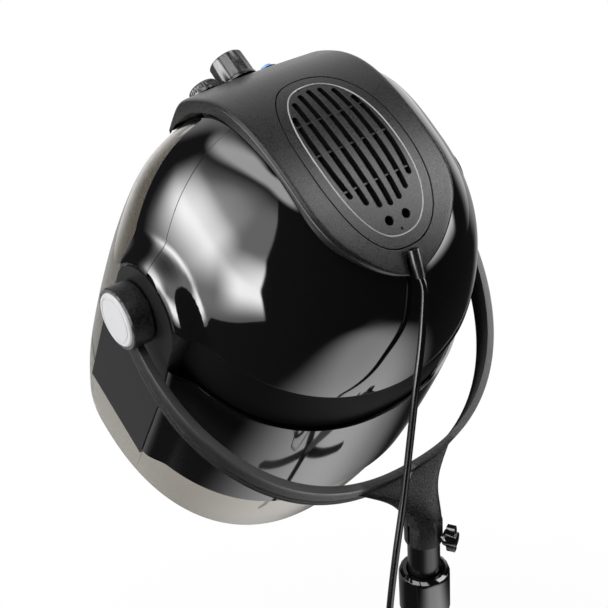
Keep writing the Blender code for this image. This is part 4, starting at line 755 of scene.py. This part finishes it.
# Painted shade: the recessed frame is coloured darker and duller than the heatproof plastic it is moulded in
recess_shade_black = Finish("recess_painted_shade", (0.002, 0.002, 0.002), 0.5, specular=0.05)
recess_shade_black.mottle(recess_shade_black.noise(900.0, 3.0), 0.42, 0.16)
recess_edges = [(REAR_LINE, -0.056, BACK), (REAR_LINE, 0.027, BACK)]
recess = hood_wall("recess", recess_edges, recess_shade_black, 16, 100, sink=TUCK, wall=0.003)
fit(recess, "hood", "heatproof_black", "hood_frame")

# Dome: the polished rear shell, from its lower edge over the top to the seam with the front arch. It is
# open under the vent panel.
# Two lines on the hood's body, each by the rays that lay it there: reach forward, height and turn
SEAM = (0.011, 0.015, math.atan2(1.0, 0.55))
ARCH = (0.0361, -0.042, math.atan2(1.0, 0.45))
SEAM_GAP = 0.0004
VENT_HALF = (0.053, 0.0905)
VENT_CLEAR = 0.006
CUT_LOW = 0.085
CUT_HIGH = 0.205


def raised(shape):
    """Flat faces pushed up through the top of the hood, as a cutter."""
    bmesh.ops.translate(shape, vec=(0.0, 0.0, CUT_LOW), verts=shape.verts[:])
    return pushed(shape, Vector((0.0, 0.0, CUT_HIGH - CUT_LOW)))


def vent_outline(grow):
    """Cutter with the rounded outline of the vent panel, grown all round."""
    shape = bmesh.new()
    rim = bmesh.ops.create_circle(shape, cap_ends=True, segments=96, radius=1.0)["verts"]
    for vert in rim:
        vert.co.x = (VENT_HALF[0] + grow) * swollen(vert.co.x)
        vert.co.y = (VENT_HALF[1] + grow) * swollen(vert.co.y)
    return raised(shape)


dome = hood_wall("dome", [SEAM, (*SEAM[:2], BACK)], gloss, 72, 140, spread=(7, 173), lip=True)
carve(dome, vent_outline(VENT_CLEAR))
fit(dome, "hood", "gloss_black", "dome_shell")

# Front arch: the polished strip between the dome's seam and the clear visor. It runs over the top from one
# side panel to the other.
arch_edges = [(SEAM[0] + SEAM_GAP, *SEAM[1:]), ARCH]
arch = hood_wall("arch", arch_edges, gloss, 16, 140, spread=(2, 178), lip=True)
carve(arch, vent_outline(VENT_CLEAR))
fit(arch, "hood", "gloss_black", "front_arch")

# Visor and rear skirt: thin smoked clear mouldings, tucked under the arch and inside the rear wall. They
# meet at a fine split below the side panels.
clear = {"Transmission Weight": 1.0, "IOR": 1.35}
smoked = Finish("smoked_clear_plastic", (0.33, 0.31, 0.275), 0.02, constants=clear)
smoked.tint(smoked.noise(9.0), (0.31, 0.292, 0.258), (0.35, 0.33, 0.293))
smoked.mottle(smoked.noise(70.0, 4.0), 0.008, 0.008)
VISOR = ARCH[0] - 0.008
RIM_LOW = -0.284
CLEAR_WALL = 0.0025
CLEAR_SPLIT = -0.060
SPLIT_GAP = 0.0002
CONTROL_ROOM = (0.145, 0.160, 0.133)
visor_path = [(VISOR, ARCH[1], ARCH[2] * (1.0 - k / 4.0)) for k in range(5)]
visor_path += [(VISOR, -0.120, 0.0), (VISOR, PANEL_LOW - 0.0006, 0.0)]
visor_path += [(CLEAR_SPLIT + SPLIT_GAP, height, 0.0) for height in (PANEL_LOW - 0.0046, -0.244, RIM_LOW)]
visor = hood_wall("visor", visor_path, smoked, 72, 110, sink=TUCK, wall=CLEAR_WALL, folded=True)
under_controls = HOOD_FRAME @ Matrix.Translation((0.0, -0.11, 0.0935))
carve(visor, block(CONTROL_ROOM, under_controls), folded=True)
fit(visor, "hood", "smoked_clear", "visor")
skirt_line = CLEAR_SPLIT - SPLIT_GAP
skirt_edges = [(skirt_line, PANEL_LOW + 0.012, BACK - LEAN), (skirt_line, RIM_LOW, BACK)]
skirt = hood_wall("skirt", skirt_edges, smoked, 24, 120, sink=TUCK, wall=CLEAR_WALL)
fit(skirt, "hood", "smoked_clear", "rear_skirt")

# Side panels: satin black mouldings at the hood's pivots, let in flush with the walls round them. The bolts
# of the fork go through them.
sidepiece = Finish("satin_black_abs", (0.008, 0.008, 0.0085), 0.4, specular=0.14)
sidepiece_grain = sidepiece.noise(1100.0, 3.0, 0.6)
sidepiece.mottle(sidepiece_grain, 0.30, 0.2)
sidepiece.tint(sidepiece_grain, (0.004, 0.004, 0.0045), (0.012, 0.012, 0.0125))
sidepiece.relief(sidepiece_grain, 0.0003, 0.25, 0.0007)
for side in "lr":
    dress("cheek_" + side, sidepiece)

# Spine cover: a satin dark grey moulding with a fine even grain, laid over the dome's seam from the
# controls in front to the cord gland behind, with a large opening for the vent panel.
satin = Finish("satin_grey_abs", (0.015, 0.015, 0.016), 0.45, specular=0.36)
satin_grain = satin.speckle(800.0, 3.0, 0.6)
satin.mottle(satin_grain, 0.27, 0.12)
satin.tint(satin_grain, (0.006, 0.006, 0.0064), (0.020, 0.020, 0.0205))
satin.relief(satin_grain, 0.0004, 0.08, 0.0008)
# Centre line: reach forward of the hood's middle, height and half width
spine_line = eased([
    (0.1435, 0.030, 0.0740),
    (0.1435, 0.048, 0.0755),
    (0.1435, 0.066, 0.0760),
    (0.1418, 0.077, 0.0760),
    (0.1370, 0.0875, 0.0760),
    (0.1280, 0.1005, 0.0760),
    (0.1130, 0.1190, 0.0760),
    (0.0930, 0.1352, 0.0760),
    (0.0700, 0.1458, 0.0760),
    (0.0400, 0.1528, 0.0760),
    (0.0000, 0.1560, 0.0760),
    (-0.0350, 0.1545, 0.0755),
    (-0.0580, 0.1500, 0.0700),
    (-0.0740, 0.1455, 0.0610),
    (-0.0880, 0.1395, 0.0490),
    (-0.0990, 0.1330, 0.0360),
    (-0.1065, 0.1275, 0.0220),
    (-0.1100, 0.1248, 0.0100),
])
spine_places = np.linspace(0.0, 1.0, len(spine_line))
spine_way = np.gradient(spine_line[:, :2], axis=0)
spine_way /= np.linalg.norm(spine_way, axis=1)[:, None]
spine_up = np.c_[spine_way[:, 1], -spine_way[:, 0]]
spine_up[spine_up @ np.array([0.2, 1.0]) < 0] *= -1


def spine_share(forward):
    """Share of the way along the spine at a reach forward of the hood's middle."""
    return np.interp(-forward, -spine_line[:, 0], spine_places)


def under_spine(share, x, depth):
    """A point in the hood's frame: along the spine, across it and below its centre line."""
    s, z = (np.interp(share, spine_places, spine_line[:, k]) for k in (0, 1))
    up_s, up_z = (np.interp(share, spine_places, spine_up[:, k]) for k in (0, 1))
    return x, s - up_s * depth, z - up_z * depth


def on_spine(share, x, depth):
    """The same point in the scene."""
    x, s, z = under_spine(share, x, depth)
    return HOOD_FRAME @ Vector((x, -s, z))


SPINE_HALF = 0.076
CROWN = 0.0016
SEAT_SINK = 0.0012
SEAT_LEAST = 0.0050
SEAT_MOST = 0.030
SEAT_STEP = 0.00025


def crown(x):
    """How far the cover's top falls off from its centre line."""
    return CROWN * (x / SPINE_HALF) ** 2


def spine_seat(share, x):
    """How deep below the spine's centre line the hood's surface lies."""
    depth = np.arange(0.0, SEAT_MOST, SEAT_STEP)
    level = hood_level(np.full_like(depth, x), *under_spine(share, x, depth)[1:])
    return max(depth[np.argmax(level < 1.0)] - SEAT_SINK, SEAT_LEAST)


COVER_ROWS = 120
COVER_SIDE = 20
COVER_FLAT = 12
COVER_WALL = 0.0022
EDGE_R = 0.006
EDGE_DEEP = 0.0046
HOOD_UP = Vector((0.0, 0.0, 1.0))


def on_cover(across, along):
    """A point of the cover: a low crown, a round edge and a border down to the hood."""
    row = round(along * COVER_ROWS)
    share = min(max((row - 1) / (COVER_ROWS - 2), 0.0), 1.0)
    half = np.interp(share, spine_places, spine_line[:, 2])
    edge = min(EDGE_R, 0.4 * half)
    k = round(abs(2.0 * across - 1.0) * COVER_SIDE)
    x = (half - edge) * min(k / COVER_FLAT, 1.0)
    depth = crown(x)
    if k > COVER_FLAT:
        a = math.radians(90.0 * min((k - COVER_FLAT) / (COVER_SIDE - COVER_FLAT - 1), 1.0))
        x += edge * math.sin(a)
        depth += (EDGE_DEEP - depth) * (1.0 - math.cos(a))
    if k == COVER_SIDE or row in (0, COVER_ROWS):
        depth = spine_seat(share, x)
    return on_spine(share, math.copysign(x, across - 0.5), depth)


FACE = 0.1435
CONTROL_Z = 0.060
SHAFT_BORE = 0.0033
SWITCH_BORE = 0.0105
NOTCH_R = 0.0074
FACE_TURN = rotated(90.0, "X")
HEAT_AT, TIMER_AT, SWITCH_AT = (
    HOOD_FRAME @ Matrix.Translation((x, -FACE, CONTROL_Z)) @ FACE_TURN for x in (0.0, 0.037, -0.0314)
)
cover = walled("spine", draped(2 * COVER_SIDE, COVER_ROWS, on_cover), HOOD_UP, COVER_WALL, satin)
carve(cover, vent_outline(0.0))
for place, radius in ((HEAT_AT, SHAFT_BORE), (TIMER_AT, SHAFT_BORE), (SWITCH_AT, SWITCH_BORE)):
    carve(cover, turned(rod(radius, -0.012, 0.010), place, 48))
notch_end = HOOD_FRAME @ Matrix.Translation((0.0, 0.1000, 0.0))
carve(cover, turned(rod(NOTCH_R, CUT_LOW, CUT_HIGH), notch_end, 40), folded=True)
notch_middle = notch_end @ Matrix.Translation((0.0, 0.015, (CUT_LOW + CUT_HIGH) / 2.0))
carve(cover, block((2.0 * NOTCH_R, 0.030, CUT_HIGH - CUT_LOW), notch_middle), folded=True)
fit(cover, "hood", "satin_grey", "spine_cover")

# Vent panel: a bowed plate set in the spine cover behind a fine groove, with a raised bead inside its
# edge, seven bowed slots crossed by three thin ribs, two round holes and two small pins.
VENT_GAP = 0.0010
VENT_DEPTH = 0.0002
VENT_WALL = 0.0044
BEAD_HALF = (0.0425, 0.0800)
BEAD_R = 0.0007
SLOT_R = 0.0028
SLOT_PITCH = 0.0107
SLOT_BOW = 0.0011
RIB = (0.076, 0.0015, 0.0024)
RIB_DEPTH = 0.0032
PIN_R = 0.0008
PIN_HOLE = 0.0013
PIN_DEPTH = 0.0007
# Depth, thickness and overlap of the near-black sheet of painted shade under the slots
SHADE_SHEET_DEPTH = 0.0052
SHADE_SHEET_WALL = 0.0012
SHADE_SHEET_LAP = 0.004


def sheet(half, front, length, depth):
    """A formula for draped(): a sheet that follows the spine's crown at a depth, cut to shape later."""

    def place(across, along):
        x = half * (2.0 * across - 1.0)
        return on_spine(spine_share(front - length * along), x, crown(x) + depth)

    return place


def bead_line(turn):
    """A point on the bead's centre line: across the hood and back from its middle."""
    return BEAD_HALF[0] * swollen(math.cos(turn)), BEAD_HALF[1] * swollen(math.sin(turn))


def on_bead(around, along):
    """A point of the bead, half sunk in the plate."""
    turn = math.tau * along
    (x, y), (xa, ya), (xb, yb) = (bead_line(turn + step) for step in (0.0, -0.01, 0.01))
    out = Vector((yb - ya, xa - xb)).normalized()
    a = math.tau * around
    x, y = x + BEAD_R * math.cos(a) * out.x, y + BEAD_R * math.cos(a) * out.y
    return on_spine(spine_share(-y), x, crown(x) + VENT_DEPTH - BEAD_R * math.sin(a))


def slot_cutter(x, low, high, bow):
    """A slot with round ends that bows sideways, as a cutter through the plate."""
    shape = bmesh.new()
    turn = Matrix.Rotation(math.pi / 24.0, 4, "Z")
    bmesh.ops.create_circle(shape, cap_ends=True, segments=24, radius=SLOT_R, matrix=turn)
    for vert in shape.verts:
        vert.co.y += high if vert.co.y > 0 else low
    long_sides = [edge for edge in shape.edges if edge.calc_length() > 0.01]
    bmesh.ops.subdivide_edges(shape, edges=long_sides, cuts=20)
    for vert in shape.verts:
        share = min(max((vert.co.y - low) / (high - low), 0.0), 1.0)
        vert.co.x += x + bow * (1.0 - (2.0 * share - 1.0) ** 2)
    return raised(shape)


plate = draped(40, 90, sheet(half=0.070, front=0.118, length=0.226, depth=VENT_DEPTH))
vent = walled("vent", plate, HOOD_UP, VENT_WALL, satin)
carve(vent, vent_outline(-VENT_GAP), "INTERSECT")
slot_spans = [(-0.050, 0.034), (-0.064, 0.044), (-0.070, 0.050), (-0.072, 0.052)]
for k, (low, high) in enumerate(slot_spans + slot_spans[2::-1], -3):
    carve(vent, slot_cutter(k * SLOT_PITCH, low, high, k * SLOT_BOW))
for y in (-0.043, -0.010, 0.029):
    rib = block(RIB, Matrix())
    for vert in rib.verts:
        vert.co = on_spine(spine_share(-y - vert.co.y), vert.co.x, RIB_DEPTH - vert.co.z)
    bmesh.ops.recalc_face_normals(rib, faces=rib.faces[:])
    carve(vent, rib, "UNION")
pins = [(0.0075, -0.0772), (0.001, 0.0752)]
holes = [(0.0092, 0.0655, 0.0042), (-0.0092, 0.0655, 0.0042)] + [(x, y, PIN_HOLE) for x, y in pins]
for x, y, radius in holes:
    hole = bmesh.new()
    spot = Matrix.Translation((x, y, 0.0))
    bmesh.ops.create_circle(hole, cap_ends=True, segments=32, radius=radius, matrix=spot)
    carve(vent, raised(hole))
pin_outline = [(0.0, -0.003), (PIN_R, -0.003), (PIN_R, -0.0001), (0.0, 0.0)]
for x, y in pins:
    top = on_spine(spine_share(-y), x, crown(x) + PIN_DEPTH)
    pin_at = Matrix.Translation(top) @ HOOD_FRAME.to_3x3().to_4x4()
    carve(vent, turned(pin_outline, pin_at, 20), "UNION")
fit(vent, "hood", "satin_grey", "vent_panel")
# Painted highlight: the bead is coloured light grey and glossy, lighter than the satin panel round it, to
# show as a bright line along its ridge
bead_highlight_finish = Finish("bead_painted_highlight", (0.34, 0.34, 0.35), 0.2, specular=0.8)
bead_highlight_finish.mottle(bead_highlight_finish.noise(800.0, 3.0), 0.14, 0.14)
bead = show("vent_bead", draped(12, 200, on_bead, around=True), bead_highlight_finish)
fit(bead, "hood", "satin_grey")
# Painted shade: a near-black sheet laid under the slots and the groove, so that they show dark
shade_sheet_finish = Finish("painted_shade_sheet", (0.003, 0.003, 0.003), 0.9, specular=0.1)
shade_sheet_finish.relief(shade_sheet_finish.noise(1500.0, 2.0), 0.0006, 0.8, 0.0002)
mat = draped(16, 40, sheet(half=0.060, front=0.100, length=0.200, depth=SHADE_SHEET_DEPTH))
vent_shade_sheet = walled("vent_shade_sheet", mat, HOOD_UP, SHADE_SHEET_WALL, shade_sheet_finish)
carve(vent_shade_sheet, vent_outline(SHADE_SHEET_LAP), "INTERSECT")
fit(vent_shade_sheet, "hood", "heatproof_black")

# Controls: a fluted heat knob and a low timer dial in black, and a round blue rocker in a black rim, all
# on the front of the spine cover. The knobs push on to their switch shafts.
knob_black = Finish("knob_black_abs", (0.010, 0.010, 0.0105), 0.25, specular=0.7)
knob_grain = knob_black.noise(900.0, 3.0)
knob_black.mottle(knob_grain, 0.24, 0.05)
knob_tint = knob_black.noise(60.0)
knob_black.tint(knob_tint, (0.007, 0.007, 0.0075), (0.014, 0.014, 0.0145))
knob_black.relief(knob_grain, 0.0001, 0.03, 0.0004)


def knob(name, place, body, radius, length, flange, flutes):
    """A push-on knob: a fluted grip on a plain foot ring, with its shaft."""
    foot, shaft, shaft_low, flute_deep = 0.0006, 0.003, -0.015, 0.0005
    top = foot + length
    # Radius, height, and 1 where the outline is fluted
    outline = [(0.0, shaft_low, 0), (shaft, shaft_low, 0), (shaft, foot, 0), (flange, foot, 0)]
    outline += [(flange, foot + 0.0022, 0), (radius, foot + 0.0032, 0), (radius, foot + 0.0038, 1)]
    outline += [(radius * 0.985, foot + length * 0.6, 1), (radius * 0.97, top - 0.0022, 1)]
    outline += [(radius * 0.955, top - 0.0010, 0), (radius * 0.90, top, 0), (0.0, top, 0)]

    def grip(around, along):
        r, h, fluted = outline[round(along * (len(outline) - 1))]
        a = math.tau * around
        r -= fluted * flute_deep * (0.5 + 0.5 * math.cos(flutes * a))
        return place @ Vector((r * math.cos(a), r * math.sin(a), h))

    piece = show(name, draped(192, len(outline) - 1, grip, around=True), knob_black)
    fit(piece, body, "textured_black", body)


knob("heat_grip", HEAT_AT, "heat_knob", radius=0.018, length=0.0275, flange=0.0186, flutes=12)
knob("timer_grip", TIMER_AT, "timer_dial", radius=0.015, length=0.0095, flange=0.015, flutes=32)
rim_outline = [(0.0, -0.019), (0.0102, -0.019), (0.0102, 0.0003), (0.0120, 0.0003), (0.0120, 0.0020)]
rim_outline += [(0.0116, 0.0027), (0.0108, 0.0030), (0.0096, 0.0029), (0.0090, 0.0024), (0.0090, -0.016)]
rim_outline += [(0.0, -0.016)]
bezel = show("rocker_rim", turned(rim_outline, SWITCH_AT, 72), knob_black)
fit(bezel, "hood", "heatproof_black", "switch_bezel")
# Painted glow: the rocker's emission brightens its blue face; the same noise also varies its blue at random
painted_glow = {"Coat Weight": 0.6, "Emission Strength": 0.5}
blue = Finish("blue_clear_rocker", (0.03, 0.20, 0.75), 0.1, constants=painted_glow)
blue_tone_and_glow = blue.noise(140.0, 2.0)
blue.tint(blue_tone_and_glow, (0.02, 0.14, 0.60), (0.10, 0.34, 0.90))
blue.set("Emission Color", blue.between(blue_tone_and_glow, (0.05, 0.25, 0.80), (0.30, 0.60, 1.0)))
blue.relief(blue_tone_and_glow, 0.0001, 0.1, 0.0004)
ROCKER_R = 0.0084
ROCKER_LIFT = 0.0028
# Radius, height, and 1 where the rocker's face slopes up to one side
rocker_outline = [(0.0, -0.006, 0), (0.0076, -0.006, 0), (ROCKER_R, -0.001, 0)]
rocker_outline += [(0.0083, 0.0006, 1), (0.0078, 0.0012, 1), (0.0, 0.0014, 1)]


def on_rocker(around, along):
    """A point of the rocker, which stands proud at its raised end."""
    a = math.tau * around
    r, h, lift = rocker_outline[round(along * (len(rocker_outline) - 1))]
    h += lift * ROCKER_LIFT * (1.0 + r / ROCKER_R * math.sin(a))
    return SWITCH_AT @ Vector((r * math.cos(a), r * math.sin(a), h))


rocker = show("rocker", draped(64, len(rocker_outline) - 1, on_rocker, around=True), blue)
fit(rocker, "power_rocker", "blue_clear", "power_rocker")
dress("cord_gland", knob_black)

# Inside: the perforated bowl over the head, and above it the plate with the motor, fan and heating ring. The
# bodies of the heat and timer switches sit behind the controls.
for node in ("inner_bowl", "fan_wheel", "heat_switch_body", "timer_switch_body"):
    dress(node, heatproof)
for node in ("motor_plate", "fan_motor", "heating_ring"):
    dress(node, steel)

# Mains cord: a round black lead from the gland behind the vent panel, past the fork and down beside the
# column to the floor, where its spare length lies in a tied coil with the plug on its end.
CORD_R = 0.0034
pvc = Finish("black_pvc_cable", (0.004, 0.004, 0.0045), 0.2)
pvc.mottle(pvc.noise(400.0, 2.0), 0.14, 0.10)
pvc.relief(pvc.noise(160.0), 0.0001, 0.1, 0.0005)
gland_end = Vector((0.0, 0.074751, 1.256496))
gland_way = Vector((0.0, 0.364413, -0.931237))
route = [gland_end, gland_end + 0.012 * gland_way]
route += [(0.005, 0.0824, 1.216), (0.011, 0.0854, 1.190), (0.020, 0.0884, 1.154), (0.030, 0.0904, 1.100)]
route += [(0.042, 0.0934, 1.042), (0.055, 0.0964, 0.988), (0.067, 0.0994, 0.930), (0.075, 0.1014, 0.870)]
route += [(0.079, 0.1014, 0.800), (0.082, 0.1004, 0.740), (0.0855, 0.0979, 0.620), (0.0885, 0.0934, 0.450)]
route += [(0.091, 0.0874, 0.280), (0.093, 0.0814, 0.140), (0.0965, 0.0794, 0.068), (0.106, 0.0809, 0.024)]
route += [(0.1245, 0.0869, 0.005)]
COIL_AT = Vector((0.172, COLUMN_Y + 0.104, 0.0))
COIL_R = 0.0370
PITCH = 2.0 * CORD_R + 0.0007
COIL_TURNS = 5
LOW_TURNS = COIL_TURNS / 2.0
PER_TURN = 36
COIL_START = math.radians(-53.0)
CLIMB = 0.5
COIL_LIFT = 0.0004
LAYER_GAP = 0.0006
coil = []
for k in range(COIL_TURNS * PER_TURN + 1):
    u = k / PER_TURN
    a = COIL_START + math.tau * u
    r = COIL_R + PITCH - PITCH * min(u, COIL_TURNS - u)
    climb = min(max((u - LOW_TURNS + CLIMB / 2.0) / CLIMB, 0.0), 1.0)
    z = CORD_R + COIL_LIFT + (2.0 * CORD_R + LAYER_GAP) * (3.0 * climb**2 - 2.0 * climb**3)
    coil.append(COIL_AT + Vector((r * math.cos(a), r * math.sin(a), z)))
head = Vector((-0.662253, -0.749280, 0.0))
foot = Vector((0.902796, 0.430069, 0.0))
coil = [coil[0] + 2.0 * CORD_R * head] + coil + [coil[-1] + 0.016 * foot, coil[-1] + 0.032 * foot]
route += [coil[0] + 0.050 * head, coil[0] + 0.020 * head, coil[0]]


PER_SPAN = 24


def smooth_run(points, step):
    """Points at even steps on the smooth curve through a row of points."""
    p = [Vector(q) for q in points]
    p = [2.0 * p[0] - p[1]] + p + [2.0 * p[-1] - p[-2]]
    fine = []
    for a, b, c, d in zip(p, p[1:], p[2:], p[3:]):
        for u in (k / PER_SPAN for k in range(PER_SPAN)):
            square, cube = 2.0 * a - 5.0 * b + 4.0 * c - d, 3.0 * b - a - 3.0 * c + d
            fine.append(0.5 * (2.0 * b + (c - a) * u + square * u**2 + cube * u**3))
    fine.append(p[-2])
    reach = np.concatenate([[0.0], np.cumsum([(b - a).length for a, b in zip(fine, fine[1:])])])
    even = np.linspace(0.0, reach[-1], max(2, round(reach[-1] / step)) + 1)
    return [Vector(q) for q in np.array([np.interp(even, reach, column) for column in zip(*fine)]).T]


def lead(name, points, node):
    """One stretch of the cord: a round tube along its points."""
    line = bpy.data.curves.new(name, "CURVE")
    line.dimensions = "3D"
    line.bevel_depth = CORD_R
    line.bevel_resolution = 5
    line.use_fill_caps = True
    spline = line.splines.new("POLY")
    spline.points.add(len(points) - 1)
    for spot, q in zip(spline.points, points):
        spot.co = (*q, 1.0)
    drawn = bpy.data.objects.new(name + "_line", line)
    scene.collection.objects.link(drawn)
    bpy.context.view_layer.update()
    shape = bmesh.new()
    ready = drawn.evaluated_get(bpy.context.evaluated_depsgraph_get())
    shape.from_mesh(bpy.data.meshes.new_from_object(ready))
    bpy.data.objects.remove(drawn, do_unlink=True)
    bmesh.ops.remove_doubles(shape, verts=shape.verts[:], dist=MERGE)
    piece = show(name, shape, pvc)
    crease(piece)
    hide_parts(node)
    length = sum((b - a).length for a, b in zip(points, points[1:]))
    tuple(points[0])
    return piece


YOKE_END_Z = 0.985
POST_END_Z = 0.770
run = smooth_run(route, 0.006)
low_yoke = next(k for k, q in enumerate(run) if q.z < YOKE_END_Z)
low_post = next(k for k, q in enumerate(run) if q.z < POST_END_Z)
upper = lead("lead_upper", run[: low_yoke + 1], "cord_upper")
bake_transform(upper)
middle = lead("lead_middle", run[low_yoke : low_post + 1], "cord_middle")
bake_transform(middle)
lower = lead("lead_lower", run[low_post:], "cord_lower")
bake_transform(lower)
dress("mains_plug", pvc, 50.0)
dress("coil_tie", nylon)
wound = lead("lead_coil", coil, "cord_coil")
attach(wound, "base")
